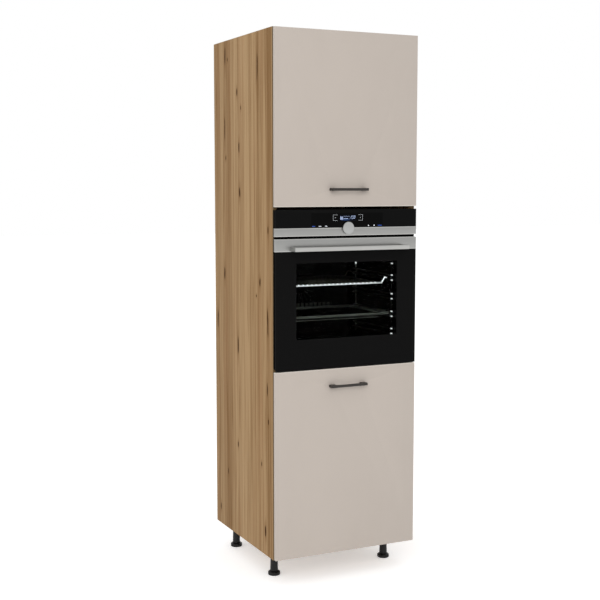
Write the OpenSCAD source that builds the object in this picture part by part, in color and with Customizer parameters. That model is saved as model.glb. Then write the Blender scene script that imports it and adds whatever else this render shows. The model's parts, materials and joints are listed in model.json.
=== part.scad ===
// Tall kitchen housing unit for a built-in oven.
//
// A 600 mm wide carcass of oak-faced boards on four adjustable legs. From the floor up it
// holds a full-extension pull-out, a built-in oven and a cupboard behind a lift-up flap.
//
// Frame: x is the width, -y is the front, z is up from the floor. Lengths named with "depth"
// or given as d are measured backwards from the front edges of the carcass.

/* [Carcass] */
// Overall width of the unit
unit_width = 600; // [598:1:602]
// Depth of the carcass, back panels included
carcass_depth = 580; // [578:1:600]
// Thickness of the carcass boards
board = 16; // [16]
// Height of the carcass above the floor
leg_height = 100; // [95:1:120]
// Height of the bay behind the pull-out
lower_bay = 720; // [718:1:730]
// Height of the oven bay
oven_bay = 604; // [604]
// Height of the cupboard bay behind the flap
upper_bay = 646; // [640:1:720]

/* [Fronts] */
// Thickness of the two fronts
front_thick = 16; // [16]
// Gap between a shut front and the carcass, kept by soft bumpers
bumper_gap = 3; // [3]
// Width that a front is narrower than the unit
front_reveal = 4; // [3:1:5]
// Length of the bow handles
handle_length = 154; // [150:1:170]
// Height of the bow handles' bar
handle_height = 10; // [8:1:12]
// How far the bow handles stand out from the front
handle_reach = 26; // [24:1:30]

/* [Pull-out] */
// Length of the telescopic runners
runner_length = 500; // [500]
// Height of the drawer's walls
drawer_wall = 280; // [200:10:300]

/* [Flap] */
// Distance from the flap's hinge line to both strut pivots
strut_circle = 180; // [180]
// Angle at the hinge line between the two strut pivots, flap shut
strut_spread = 70; // [70]

/* [Oven] */
// Width of the oven's glass and steel front
oven_front_width = 595; // [592:1:596]
// Height of the oven's front, door and control panel together
oven_front_height = 596; // [596]
// Width inside the oven's cavity
cavity_width = 480; // [480]
// Height inside the oven's cavity
cavity_height = 354; // [354]
// Depth inside the oven's cavity
cavity_depth = 420; // [420]
// Length of the oven's handle
oven_handle_length = 480; // [460:2:500]

/* [Hidden] */
$fn = 48;

// The oven handle is the foremost piece: its reach sets where the frame's middle lies.
oven_face = 21;
oven_handle_reach = 48;
front_y = -(carcass_depth - oven_face - oven_handle_reach) / 2;

half_width = unit_width / 2;
inner_half = half_width - board;
front_half = half_width - front_reveal / 2;
back_thick = 3;
side_depth = carcass_depth - back_thick;
rear_rail_height = 100;

// Heights of the bays and of the boards between them.
bay_lower = leg_height;
bay_oven = bay_lower + lower_bay;
bay_upper = bay_oven + oven_bay;
unit_top = bay_upper + upper_bay;

// Faces of the two fronts.
front_face = front_thick + bumper_gap;
lower_front_low = bay_lower + 2;
lower_front_top = bay_oven - 4.8;
flap_low = bay_upper;
flap_top = unit_top - 2;
flap_handle_z = flap_low + 64;
drawer_handle_z = lower_front_top - 65;
handle_post = 23.5;
handle_bar = 7;
handle_corner = 3;
handle_throat = 6;

// Cam fittings join each fixed board to the sides, shelf pins carry the loose shelf.
cam_inset = 34;
cam_depths = [40, side_depth - 50];
cam_radius = 7.5;
pin_radius = 2.5;
pin_depths = [60, side_depth - 77];
pin_pitch = 64;
pin_rows = 6;
pin_low = bay_upper + 136;
pin_shelf_row = 3;
pin_length = 8;
pin_hole = 10;
inner_shelf_z = pin_low + pin_shelf_row * pin_pitch + pin_radius;

// Adjustable legs.
leg_x = half_width - 57;
leg_depths = [120, side_depth - 72];
foot_radius = 24;
foot_thick = 14;
foot_lobes = 8;
spindle_radius = 5;
spindle_top = 70;

// Flap hinge line, inside the flap so that its top edge clears the carcass as it turns.
hinge_depth = -12;
hinge_drop = 7.3;
hinge_z = flap_top - hinge_drop;
cup_x = half_width - 102;
cup_radius = 17.5;
cup_z = flap_top - 3 - cup_radius;
cup_depth = 12.8;
hinge_pin = 1.4;
hinge_eye = 2.4;
arm_half = 3.5;

// Strut pivots. Both lie on one circle round the hinge line, so as the flap turns the strut
// turns by exactly half as much.
strut_pin_depth = 14;
strut_start = asin((strut_pin_depth - hinge_depth) / strut_circle);
strut_door = [strut_pin_depth, hinge_z - strut_circle * cos(strut_start)];
strut_wall = [hinge_depth + strut_circle * sin(strut_start + strut_spread),
              hinge_z - strut_circle * cos(strut_start + strut_spread)];
strut_shut = 2 * strut_circle * sin(strut_spread / 2);
strut_tilt = atan2(strut_wall[1] - strut_door[1], strut_wall[0] - strut_door[0]);
strut_x = inner_half - 14;
strut_eye = 7;
strut_eye_half = 4.6;
strut_stud = 3;
tube_radius = 9;
rod_radius = 4;
// Shut, the tube's mouth and the rod's tip stop short of the other end's pivot.
tube_start = 20;
tube_short = 24.5;
rod_short = 23;
tube_span = [tube_start, strut_shut - tube_short];
rod_length = strut_shut - rod_short;

// Pull-out runners: three nested steel profiles on each side.
runner_z = bay_lower + 90;
runner_gap = 13;
rail_front = 3;
drawer_half = inner_half - runner_gap;
drawer_depth = 490;
drawer_low = bay_lower + 50;
drawer_floor = drawer_low + 10;

// Oven front: heights of the bands from the top down.
oven_top = bay_oven - 2 + oven_front_height;
oven_low = oven_top - oven_front_height;
oven_half = oven_front_width / 2;
fascia_low = oven_top - 68;
strip_low = oven_top - 98;
door_top = oven_top - 107.5;
trim_low = door_top - 46.2;
glass_thick = 3.5;
door_back = -4;
glass_back = -oven_face + glass_thick;
steel_return = 1.5;

// Oven door hinge line, 8 mm behind the glass face and 12.2 mm above the door's lower edge.
door_axis_depth = -oven_face + 8;
door_axis_z = oven_low + 12.2;
door_arm_x = 266;
door_arm_half = 4;
door_pin = 2.1;
door_eye = 4.1;
door_cheek = 250;
door_column = oven_half - steel_return - 0.2;

// Oven body.
casing_half = 279;
casing_depth = 548;
casing_top = oven_top - 10;
sheet = 1.2;
cavity_low = bay_oven + 58;
cavity_top = cavity_low + cavity_height;
cavity_mid = (cavity_low + cavity_top) / 2;
cavity_half = cavity_width / 2;
cavity_corner = 22;
liner = 1.5;
flange_low = oven_low + 8.5;

// Wire racks, shelf levels and heaters.
wire = 2.5;
rack_x = 229.5;
rack_post_x = 234;
rack_depths = [62, 352];
rack_ends = [45, 365];
rack_levels = [935.5, 1003, 1071.5, 1144, 1209];
rack_half_gap = 9.7;
rack_play = 0.3;
shelf_low = 1124.4;
shelf_rail_z = rack_levels[3] - rack_half_gap + 4.95;
shelf_rail_x = 227.5;
shelf_ends = [60, 360];
wire_end = 0.7;
shelf_rods = 19;
rod_pitch = 18.1;
rod_wire = 1.5;
grid_half = 190;
crank_top = [204.5, 1146];
crank_wire = 2.2;
cross_wire = 2.4;
length_step = 0.15;
knee_bulge = 0.3;
tray_rest = rack_levels[1] - rack_half_gap + wire + rack_play;
tray_top = rack_levels[1] + rack_half_gap - wire - 0.5;
tray_floor = tray_top - 18.5;
tray_wall = 1.4;
tray_skirt = 8;
tray_rim_half = 230.5;
tray_rim_ends = [50, 368];
tray_rim_corner = 25;
tray_half = 204;
tray_ends = [62, 356];
tray_corner = 20;
tray_runner = [80, 338];
cover_depth = 372;
cover_size = [410, 300];
slot_size = [6, 22];
slot_pitch = 18.8;
slots_each_side = 7;
slot_row = 72.5;
fan_z = cavity_mid + 30;
fan_radius = 70;
fan_depths = [382, 398];
fan_blades = 12;
motor_depths = [430, 480];
shaft = 4;
heater = 3.2;
heater_ring = 88;
grill_z = cavity_top - 14;
grill_runs = [-150, -90, -30, 30, 90, 150];
grill_ends = [62, 320];

// Knob, on the line between the glass fascia and the steel strip.
knob_z = fascia_low - 2;
knob_radius = 23.5;
knob_reach = 8;
display_half = 34;
display_z = [oven_top - 43, oven_top - 21];

function y_at(d) = front_y + d;

// Block between two corners, given as ranges of x, depth and z.
module block(x, d, z) {
    translate([x[0], y_at(d[0]), z[0]])
        cube([x[1] - x[0], d[1] - d[0], z[1] - z[0]]);
}

// Round bars along the three axes.
module bar_x(x, d, z, r) {
    translate([x[0], y_at(d), z]) rotate([0, 90, 0]) cylinder(h = x[1] - x[0], r = r);
}

module bar_y(x, d, z, r) {
    translate([x, y_at(d[0]), z]) rotate([-90, 0, 0]) cylinder(h = d[1] - d[0], r = r);
}

module bar_z(x, d, z, r) {
    translate([x, y_at(d), z[0]]) cylinder(h = z[1] - z[0], r = r);
}

// Sheet cut from a flat outline in x and z, over a range of depths.
module sheet_y(d, z) {
    translate([0, y_at(d[1]), z]) rotate([90, 0, 0]) linear_extrude(d[1] - d[0]) children();
}

module both_sides() {
    children();
    mirror([1, 0, 0]) children();
}

module rounded(w, h, r) {
    square([w - 2 * r, h], center = true);
    square([w, h - 2 * r], center = true);
    for (x = [-1, 1], y = [-1, 1])
        translate([x * (w / 2 - r), y * (h / 2 - r)]) circle(r);
}

// Flat plate with rounded corners, over a range of depths and of heights.
module plate_z(half, d, r, z) {
    translate([0, y_at((d[0] + d[1]) / 2), z[0]]) linear_extrude(z[1] - z[0])
        rounded(2 * half, d[1] - d[0], r);
}

// Bent wire through points given as x, depth and z. Each length is a touch thinner than the
// one before, and each knee bulges a little.
module wire_path(points, r) {
    for (i = [1:len(points) - 1]) {
        p = points[i - 1];
        v = points[i] - p;
        translate([p[0], y_at(p[1]), p[2]])
            rotate([0, acos(v[2] / norm(v)), atan2(v[1], v[0])])
                cylinder(h = norm(v), r = r - (i - 1) * length_step);
    }
    for (i = [1:len(points) - 2])
        translate([points[i][0], y_at(points[i][1]), points[i][2]]) sphere(r + knee_bulge);
}

// ---------------------------------------------------------------- carcass

fixed_board_mids = [bay_lower + board / 2, bay_oven - board / 2,
                    bay_upper + board / 2, unit_top - board / 2];

// Side panel on the right, drilled for cam bolts and for two rows of shelf pins.
module side_board() {
    difference() {
        block([inner_half, half_width], [0, side_depth], [bay_lower, unit_top]);
        for (z = fixed_board_mids, d = cam_depths)
            bar_x([inner_half - 1, inner_half + pin_hole], d, z, 2.6);
        for (row = [0:pin_rows - 1], d = pin_depths)
            bar_x([inner_half - 1, inner_half + pin_hole], d, pin_low + row * pin_pitch,
                  pin_radius);
    }
}

module side_left() { color("burlywood") mirror([1, 0, 0]) side_board(); }
module side_right() { color("burlywood") side_board(); }

// Fixed board with cam pockets, opening downwards or upwards.
module fixed_board(z, depth, pocket_up) {
    difference() {
        block([-inner_half, inner_half], [0, depth], [z, z + board]);
        both_sides() for (d = cam_depths) {
            bar_z(inner_half - cam_inset, d,
                  pocket_up ? [z + board - 12.5, z + board + 1] : [z - 1, z + 12.5], cam_radius);
            bar_x([inner_half - cam_inset, inner_half + 1], d, z + board / 2, 3.5);
        }
    }
}

module bottom_panel() { color("burlywood") fixed_board(bay_lower, side_depth, false); }
module oven_shelf() { color("burlywood") fixed_board(bay_oven - board, 540, false); }
module upper_deck() { color("burlywood") fixed_board(bay_upper, side_depth, false); }
module top_panel() { color("burlywood") fixed_board(unit_top - board, side_depth, true); }

// Hardboard backs, nailed over the rear edges. The oven bay is left open for its air.
module back_board(z) {
    block([-half_width + 2, half_width - 2], [side_depth, carcass_depth], z);
}

module back_lower() { color("tan") back_board([bay_lower + 2, bay_oven - 2]); }
module back_upper() { color("tan") back_board([bay_upper + 2, unit_top - 2]); }

// Rail on edge under the rear of the board over the oven.
module rear_rail() {
    color("burlywood")
        block([-inner_half, inner_half], [side_depth - board, side_depth],
              [bay_upper - rear_rail_height, bay_upper]);
}

module inner_shelf() {
    color("burlywood")
        block([-inner_half + 1, inner_half - 1], [22, side_depth - 12],
              [inner_shelf_z, inner_shelf_z + board]);
}

// Plain steel pins that carry the loose shelf.
module shelf_pins() {
    color("silver") both_sides() for (d = pin_depths) {
        z = inner_shelf_z - pin_radius;
        bar_x([inner_half - pin_length, inner_half + pin_hole - 1], d, z, pin_radius - 0.05);
    }
}

// Cam in its pocket and the bolt that it draws in from the side panel.
module cam_fitting(d, z, cam_z) {
    difference() {
        bar_z(inner_half - cam_inset, d, cam_z, cam_radius - 0.1);
        bar_x([inner_half - cam_inset - 3, inner_half], d, z, 3.6);
    }
    bar_x([inner_half - cam_inset, inner_half - 0.5], d, z, 3);
    bar_x([inner_half - 0.5, inner_half + pin_hole - 0.5], d, z, 2.5);
}

module cam_fittings() {
    color("silver") both_sides() for (z = fixed_board_mids, d = cam_depths)
        cam_fitting(d, z, z > unit_top - board ? [z - 4, z + board / 2 - 0.5]
                                               : [z - board / 2 + 0.5, z + 4]);
}

// ---------------------------------------------------------------- legs

// Plate under the bottom panel and a tapered socket for the foot's spindle.
module leg_socket(x, d) {
    foot_top = foot_thick + 0.4;
    difference() {
        union() {
            bar_z(x, d, [leg_height - 5, leg_height], 30);
            translate([x, y_at(d), foot_top])
                cylinder(h = leg_height - foot_top, r1 = 15.5, r2 = 13.5);
            for (turn = [0:45:315])
                translate([x, y_at(d), leg_height - 24]) rotate(turn)
                    translate([12, -1, 0]) cube([12, 2, 22]);
        }
        bar_z(x, d, [foot_top - 1, spindle_top + 6], spindle_radius + 0.3);
        for (turn = [22.5:90:292.5])
            translate([x, y_at(d), leg_height - 6]) rotate(turn) translate([23, 0, 0])
                cylinder(h = 7, r = 2);
    }
}

module leg_sockets() {
    color([0.11, 0.11, 0.11]) both_sides() for (d = leg_depths) leg_socket(leg_x, d);
}

// Lobed foot with its spindle.
module foot(x, d) {
    color([0.11, 0.11, 0.11]) {
        difference() {
            translate([x, y_at(d), 0]) rotate_extrude()
                polygon([[0, 0], [foot_radius - 2, 0], [foot_radius, 2],
                         [foot_radius, foot_thick - 3], [foot_radius - 3, foot_thick],
                         [0, foot_thick]]);
            for (lobe = [0:foot_lobes - 1])
                translate([x, y_at(d), -1]) rotate((lobe + 0.5) * 360 / foot_lobes)
                    translate([foot_radius + 3, 0, 0]) cylinder(h = foot_thick + 2, r = 5.5);
        }
        bar_z(x, d, [foot_thick - 1, spindle_top], spindle_radius);
    }
}

module foot_front_left() { foot(-leg_x, leg_depths[0]); }
module foot_front_right() { foot(leg_x, leg_depths[0]); }
module foot_back_left() { foot(-leg_x, leg_depths[1]); }
module foot_back_right() { foot(leg_x, leg_depths[1]); }

// ---------------------------------------------------------------- handles

// Bow handle seen from above: a straight grip between two broad posts.
module bow_outline() {
    half = handle_length / 2;
    gap = half - handle_post;
    corner_y = -handle_reach + handle_corner;
    throat_y = -handle_reach + handle_bar + handle_throat;
    difference() {
        union() {
            translate([-half, corner_y]) square([handle_length, -corner_y]);
            translate([-half + handle_corner, -handle_reach])
                square([handle_length - 2 * handle_corner, 2 * handle_corner]);
            for (x = [-1, 1]) translate([x * (half - handle_corner), corner_y])
                circle(handle_corner);
        }
        translate([-gap, throat_y]) square([2 * gap, handle_reach]);
        translate([-gap + handle_throat, throat_y - handle_throat])
            square([2 * (gap - handle_throat), 2 * handle_throat]);
        for (x = [-1, 1]) translate([x * (gap - handle_throat), throat_y])
            circle(handle_throat);
    }
}

module bow_handle(z) {
    color([0.17, 0.15, 0.14])
        translate([0, y_at(-front_face), z - handle_height / 2])
            linear_extrude(handle_height) bow_outline();
}

module upper_handle() { bow_handle(flap_handle_z); }
module lower_handle() { bow_handle(drawer_handle_z); }

module handle_holes(z) {
    both_sides() bar_y(64, [-front_face - 1, -bumper_gap + 1], z, 2.5);
}

// ---------------------------------------------------------------- flap

module upper_front() {
    color([0.76, 0.72, 0.69]) difference() {
        block([-front_half, front_half], [-front_face, -bumper_gap], [flap_low, flap_top]);
        both_sides() bar_y(cup_x, [-bumper_gap - cup_depth, 0], cup_z, cup_radius);
        handle_holes(flap_handle_z);
    }
}

// Hinge cup with its screw wings and the cross pin that the arm turns on.
module hinge_cup() {
    rim = -bumper_gap + 1;
    difference() {
        union() {
            bar_y(cup_x, [-bumper_gap - cup_depth + 0.1, rim], cup_z, cup_radius - 0.05);
            block([cup_x - 30, cup_x + 30], [-bumper_gap, rim], [cup_z - 12, cup_z + 8]);
            bar_y(cup_x, [-bumper_gap, rim], cup_z, cup_radius + 1);
        }
        bar_y(cup_x, [-bumper_gap - cup_depth + 0.7, 0], cup_z, cup_radius - 1.1);
        for (side = [-1, 1])
            bar_y(cup_x + side * 24, [-bumper_gap - 1, 0], cup_z - 5, 2);
    }
    bar_x([cup_x - 10, cup_x + 10], hinge_depth, hinge_z, hinge_pin);
}

module flap_hinge_cups() { color("silver") both_sides() hinge_cup(); }

// Cranked arm: an eye round the pin, a limb down and back out of the cup, and a channel
// that is screwed up under the top panel with its mounting plate.
module hinge_arm() {
    limb_top = hinge_z - 11.9;
    limb_low = limb_top - 5.5;
    board_low = unit_top - board;
    difference() {
        union() {
            bar_x([cup_x - arm_half, cup_x + arm_half], hinge_depth, hinge_z, hinge_eye);
            block([cup_x - arm_half, cup_x + arm_half], [hinge_depth - 2, hinge_depth + 2],
                  [limb_low, hinge_z]);
            block([cup_x - arm_half, cup_x + arm_half], [hinge_depth - 2, 12],
                  [limb_low, limb_top]);
        }
        bar_x([cup_x - 9, cup_x + 9], hinge_depth, hinge_z, hinge_pin + 0.05);
    }
    difference() {
        union() {
            block([cup_x - 9, cup_x + 9], [6, 64], [limb_low, board_low - 3]);
            block([cup_x - 26, cup_x + 26], [30, 48], [board_low - 3, board_low]);
            block([cup_x - 9, cup_x + 9], [20, 60], [board_low - 3, board_low]);
        }
        block([cup_x - 7.5, cup_x + 7.5], [10, 66], [limb_low - 1, board_low - 5]);
        for (side = [-1, 1])
            bar_z(cup_x + side * 20, 39, [board_low - 4, board_low + 1], 2);
    }
}

module flap_hinge_arms() { color("silver") both_sides() hinge_arm(); }

// Stud with a head, which a strut's eye turns on. It stands inwards from x_root.
module strut_ball_stud(x_root, pivot) {
    bar_x([strut_x - 6, x_root], pivot[0], pivot[1], strut_stud);
    bar_x([strut_x - 8, strut_x - strut_eye_half - 0.4], pivot[0], pivot[1], strut_stud + 1.6);
}

module strut_wall_brackets() {
    color("silver") both_sides() {
        difference() {
            block([inner_half - 2, inner_half], [strut_wall[0] - 14, strut_wall[0] + 14],
                  [strut_wall[1] - 22, strut_wall[1] + 22]);
            for (end = [-1, 1])
                bar_x([inner_half - 3, inner_half + 1], strut_wall[0], strut_wall[1] + end * 16, 2);
        }
        strut_ball_stud(inner_half, strut_wall);
    }
}

module strut_door_brackets() {
    color("silver") both_sides() {
        ear_x = strut_x + 6;
        difference() {
            block([strut_x - 12, strut_x + 12], [-bumper_gap, -bumper_gap + 2],
                  [strut_door[1] - 22, strut_door[1] + 22]);
            for (end = [-1, 1])
                bar_y(strut_x, [-bumper_gap - 1, 0], strut_door[1] + end * 16, 2);
        }
        block([ear_x, ear_x + 3], [-bumper_gap, strut_door[0]],
              [strut_door[1] - 8, strut_door[1] + 8]);
        bar_x([ear_x, ear_x + 3], strut_door[0], strut_door[1], 8);
        strut_ball_stud(ear_x + 3, strut_door);
    }
}

// Places a piece drawn along +x at a strut pivot, pointing along the strut.
module along_strut(pivot, turn) {
    translate([0, y_at(pivot[0]), pivot[1]]) rotate([strut_tilt + turn, 0, 0]) children();
}

module strut_bar(span, r) {
    translate([strut_x, span[0], 0]) rotate([-90, 0, 0]) cylinder(h = span[1] - span[0], r = r);
}

module strut_end() {
    difference() {
        union() {
            translate([strut_x - strut_eye_half, 0, 0]) rotate([0, 90, 0])
                cylinder(h = 2 * strut_eye_half, r = strut_eye);
            children();
        }
        translate([strut_x - 6, 0, 0]) rotate([0, 90, 0]) cylinder(h = 12, r = strut_stud + 0.05);
    }
}

// Pressure tube, pinned to the cabinet's side.
module strut_cylinder() {
    color([0.16, 0.16, 0.17]) along_strut(strut_wall, 180) {
        strut_end() strut_bar([4, tube_span[0] + 1], rod_radius);
        difference() {
            strut_bar(tube_span, tube_radius);
            strut_bar([tube_span[0] + 2, tube_span[1] - 4], tube_radius - 2);
            strut_bar([tube_span[0] + 2, tube_span[1] + 1], rod_radius + 0.3);
        }
    }
}

// Piston rod, pinned to the flap.
module strut_rod() {
    color("silver") along_strut(strut_door, 0) {
        strut_end() strut_bar([4, rod_length - 5], rod_radius);
        strut_bar([rod_length - 6, rod_length], tube_radius - 2.4);
    }
}

module strut_cylinder_left() { mirror([1, 0, 0]) strut_cylinder(); }
module strut_cylinder_right() { strut_cylinder(); }
module strut_rod_left() { mirror([1, 0, 0]) strut_rod(); }
module strut_rod_right() { strut_rod(); }

// ---------------------------------------------------------------- pull-out

module lower_front() {
    color([0.76, 0.72, 0.69]) difference() {
        block([-front_half, front_half], [-front_face, -bumper_gap],
              [lower_front_low, lower_front_top]);
        handle_holes(drawer_handle_z);
    }
}

module drawer_sides() {
    color([0.86, 0.86, 0.85]) both_sides() difference() {
        block([drawer_half - board, drawer_half], [-bumper_gap, drawer_depth],
              [drawer_low, drawer_low + drawer_wall]);
        block([drawer_half - board - 1, drawer_half - board + 6], [-bumper_gap - 1, drawer_depth + 1],
              [drawer_floor, drawer_floor + 8]);
    }
}

module drawer_back() {
    color([0.86, 0.86, 0.85])
        block([-drawer_half + board, drawer_half - board], [drawer_depth - board, drawer_depth],
              [drawer_floor + 8, drawer_low + drawer_wall]);
}

module drawer_bottom() {
    color([0.86, 0.86, 0.85])
        block([-drawer_half + board - 6, drawer_half - board + 6], [-bumper_gap, drawer_depth],
              [drawer_floor, drawer_floor + 8]);
}

// Runner profile. Its web and its lips are placed inwards from the cabinet's side panel.
module rail(span, outline_half, thick, web, lips) {
    sheet_y(span, runner_z) {
        translate([inner_half - web - thick, -outline_half]) square([thick, 2 * outline_half]);
        for (side = [-1, 1])
            translate([inner_half - lips[1], side > 0 ? outline_half - thick : -outline_half])
                square([lips[1] - lips[0], thick]);
    }
}

module cabinet_rails() {
    color("silver") both_sides()
        rail([rail_front, rail_front + runner_length], 22.5, 1.2, 0, [0, 8.6]);
}

module runner_mid() {
    color("gainsboro")
        rail([rail_front + 2, rail_front + runner_length - 8], 19.2, 1.2, 5.8, [2, 10.6]);
}

module runner_mid_left() { mirror([1, 0, 0]) runner_mid(); }
module runner_mid_right() { runner_mid(); }

module drawer_rails() {
    color("silver") both_sides()
        rail([rail_front + 1, drawer_depth - 1], 14.4, 1.2, runner_gap - 1.2, [8, runner_gap]);
}

// ---------------------------------------------------------------- oven body

// Sheet-metal casing: separate panels, a louvred rear cover and the terminal box.
module oven_casing() {
    seam = 0.2;
    inner = casing_half - sheet - seam;
    color("silver") {
        both_sides()
            block([inner + seam, casing_half], [1, casing_depth], [bay_oven, casing_top]);
        block([-inner, inner], [1, casing_depth], [casing_top - sheet, casing_top]);
        block([-inner, inner], [1, casing_depth], [bay_oven, bay_oven + sheet]);
        difference() {
            block([-inner, inner], [casing_depth - sheet, casing_depth],
                  [bay_oven + sheet + seam, casing_top - sheet - seam]);
            for (row = [0:5], x = [-180, 60])
                block([x, x + 120], [casing_depth - 5, casing_depth + 1],
                      [casing_top - 60 - row * 14, casing_top - 54 - row * 14]);
        }
        difference() {
            block([-45, 45], [casing_depth + seam, casing_depth + 22],
                  [bay_oven + 60, bay_oven + 120]);
            bar_z(0, casing_depth + 11, [bay_oven + 59, bay_oven + 70], 6);
        }
    }
}

module mouth(grow) {
    rounded(cavity_width + 2 * grow, cavity_height + 2 * grow, cavity_corner + grow);
}

// Enamelled liner. Its rear wall is pierced for the fan's shaft and the heaters' ends.
module oven_cavity() {
    color([0.09, 0.09, 0.1]) {
        sheet_y([0, cavity_depth - liner], cavity_mid) difference() {
            mouth(liner);
            mouth(0);
        }
        difference() {
            sheet_y([cavity_depth - liner, cavity_depth], cavity_mid) mouth(liner);
            bar_y(0, [cavity_depth - 3, cavity_depth + 1], fan_z, 7);
            for (x = [-12, 12])
                bar_y(x, [cavity_depth - 3, cavity_depth + 1], fan_z + heater_ring, heater + 0.3);
            for (x = [grill_runs[0], grill_runs[5]])
                bar_y(x, [cavity_depth - 3, cavity_depth + 1], grill_z, heater + 0.3);
        }
    }
}

// Steel plate round the cavity's mouth. It bears on the front edges of the carcass sides.
module oven_front_frame() {
    color([0.13, 0.13, 0.14]) difference() {
        block([-oven_half + 0.5, oven_half - 0.5], [-sheet, 0], [flange_low, door_top]);
        sheet_y([-2 * sheet, 1], cavity_mid) mouth(0);
        both_sides() {
            for (z = [cavity_low + 12, cavity_top + 38])
                bar_y(half_width - 9, [-2 * sheet, 1], z, 2.4);
            block([door_arm_x - 8, door_arm_x + 8], [-2 * sheet, 1],
                  [door_axis_z - 5, door_axis_z + 16]);
        }
    }
}

module door_gasket() {
    color([0.2, 0.2, 0.2]) sheet_y([door_back + 0.4, -sheet], cavity_mid) difference() {
        mouth(9);
        mouth(4);
    }
}

// Hinge arm on the chassis, ending in the eye that the door's pin turns in.
module door_hinge_arms() {
    x = [door_arm_x - door_arm_half, door_arm_x + door_arm_half];
    color("silver") both_sides() difference() {
        union() {
            bar_x(x, door_axis_depth, door_axis_z, door_eye);
            block(x, [door_axis_depth, 30], [door_axis_z - door_eye, door_axis_z + door_eye]);
            block(x, [6, 90], [door_axis_z - door_eye, door_axis_z + 14]);
        }
        bar_x([x[0] - 1, x[1] + 1], door_axis_depth, door_axis_z, door_pin + 0.05);
    }
}

// Pressed guard: radial slots in front of the fan, a row of air slots above and below it.
module fan_cover() {
    color([0.12, 0.12, 0.13]) {
        sheet_y([cover_depth, cover_depth + sheet], cavity_mid) difference() {
            rounded(cover_size[0], cover_size[1], 16);
            translate([0, fan_z - cavity_mid]) {
                for (a = [0:20:340]) rotate(a) translate([22, -2.5]) square([38, 5]);
                for (i = [-slots_each_side:slots_each_side], side = [-1, 1])
                    translate([i * slot_pitch, side * slot_row])
                        square(slot_size, center = true);
            }
        }
        both_sides() block([190, 200], [cover_depth + sheet, cavity_depth - liner],
                           [cavity_mid - 90, cavity_mid + 90]);
    }
}

module ring_heater() {
    color([0.3, 0.28, 0.27]) {
        for (d = [385, 395])
            translate([0, y_at(d), fan_z]) rotate([90, 0, 0])
                rotate_extrude() translate([heater_ring, 0]) circle(heater);
        for (x = [-12, 12])
            bar_y(x, [385, cavity_depth + 8], fan_z + heater_ring - 0.8, heater);
    }
}

// Grill element: one tube folded to and fro under the cavity's roof.
module grill_bend(x, d, turn) {
    translate([x, y_at(d), grill_z]) rotate(turn)
        rotate_extrude(angle = 180) translate([30, 0]) circle(heater);
}

module grill_element() {
    color([0.3, 0.28, 0.27]) {
        for (i = [1:4]) bar_y(grill_runs[i], grill_ends, grill_z, heater);
        for (i = [0, 5]) bar_y(grill_runs[i], [grill_ends[0], cavity_depth + 8], grill_z, heater);
        for (i = [0, 2, 4]) grill_bend(grill_runs[i] + 30, grill_ends[0], 180);
        for (i = [1, 3]) grill_bend(grill_runs[i] + 30, grill_ends[1], 0);
    }
}

module fan_motor() {
    color([0.45, 0.45, 0.46]) difference() {
        union() {
            bar_y(0, motor_depths, fan_z, 34);
            bar_y(0, [cavity_depth, motor_depths[0]], fan_z, 16);
            block([-60, 60], [motor_depths[0] - 2, motor_depths[0]], [fan_z - 9, fan_z + 9]);
        }
        bar_y(0, [cavity_depth - 1, motor_depths[1] - 10], fan_z, shaft + 0.05);
    }
}

// Fan wheel with curved blades on a disc, and its shaft.
module convection_fan() {
    color([0.6, 0.6, 0.6]) {
        bar_y(0, [fan_depths[1] - 1.2, fan_depths[1]], fan_z, fan_radius);
        bar_y(0, [fan_depths[0] - 2, fan_depths[1]], fan_z, 9);
        bar_y(0, [fan_depths[1] - 1, motor_depths[1] - 12], fan_z, shaft);
        translate([0, y_at(fan_depths[1] - 1.1), fan_z]) rotate([90, 0, 0])
            for (i = [0:fan_blades - 1]) rotate(i * 360 / fan_blades) translate([26, -26, 0])
                rotate(38) rotate_extrude(angle = 82) translate([26, 0])
                    square([1.2, fan_depths[1] - fan_depths[0] - 1]);
    }
}

module oven_lamp() {
    color([0.9, 0.88, 0.8]) {
        bar_z(0, 350, [cavity_top - 8, cavity_top - 1], 16);
        bar_z(0, 350, [cavity_top - 2, cavity_top], 20);
    }
}

// One wire rack on each side: two posts, and a pair of rails for each of five levels.
module side_rack() {
    for (d = rack_depths) {
        bar_z(rack_post_x, d, [rack_levels[0] - 25, rack_levels[4] + 12], wire);
        for (z = [rack_levels[0] - 20, rack_levels[4] - 6])
            bar_x([rack_post_x, cavity_half], d, z, wire);
    }
    for (level = rack_levels, side = [-1, 1]) {
        z = level + side * rack_half_gap;
        bar_y(rack_x, rack_ends, z, wire);
        for (d = rack_ends) translate([rack_x, y_at(d), z]) sphere(wire);
    }
}

module side_racks() { color("silver") both_sides() side_rack(); }

// ---------------------------------------------------------------- control panel

// Plastic housing behind the fascia, with the slots that let the cooling air out.
module control_housing() {
    color([0.07, 0.07, 0.07]) difference() {
        union() {
            block([-oven_half + 0.2, oven_half - 0.2], [glass_back, 0],
                  [fascia_low + 0.2, oven_top - 1]);
            block([-oven_half + 2, oven_half - 2], [glass_back, 0], [strip_low + 2, oven_top - 1]);
            block([-oven_half + 2, oven_half - 2], [-9, 0], [door_top + 0.4, strip_low + 2]);
        }
        for (x = [-270:12:264])
            block([x, x + 7], [-10, -2], [door_top + 2.5, strip_low - 0.5]);
        bar_y(0, [glass_back - 1, -6], knob_z, shaft + 0.05);
        block([-display_half - 0.2, display_half + 0.2], [glass_back - 1, glass_back + 6],
              display_z);
    }
}

module control_fascia() {
    color([0.06, 0.06, 0.06]) difference() {
        block([-oven_half, oven_half], [-oven_face, glass_back], [fascia_low, oven_top]);
        block([-display_half - 0.2, display_half + 0.2], [-oven_face - 1, glass_back + 1],
              [display_z[0] - 0.2, display_z[1] + 0.2]);
        bar_y(0, [-oven_face - 1, glass_back + 1], knob_z, 6);
    }
}

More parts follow.
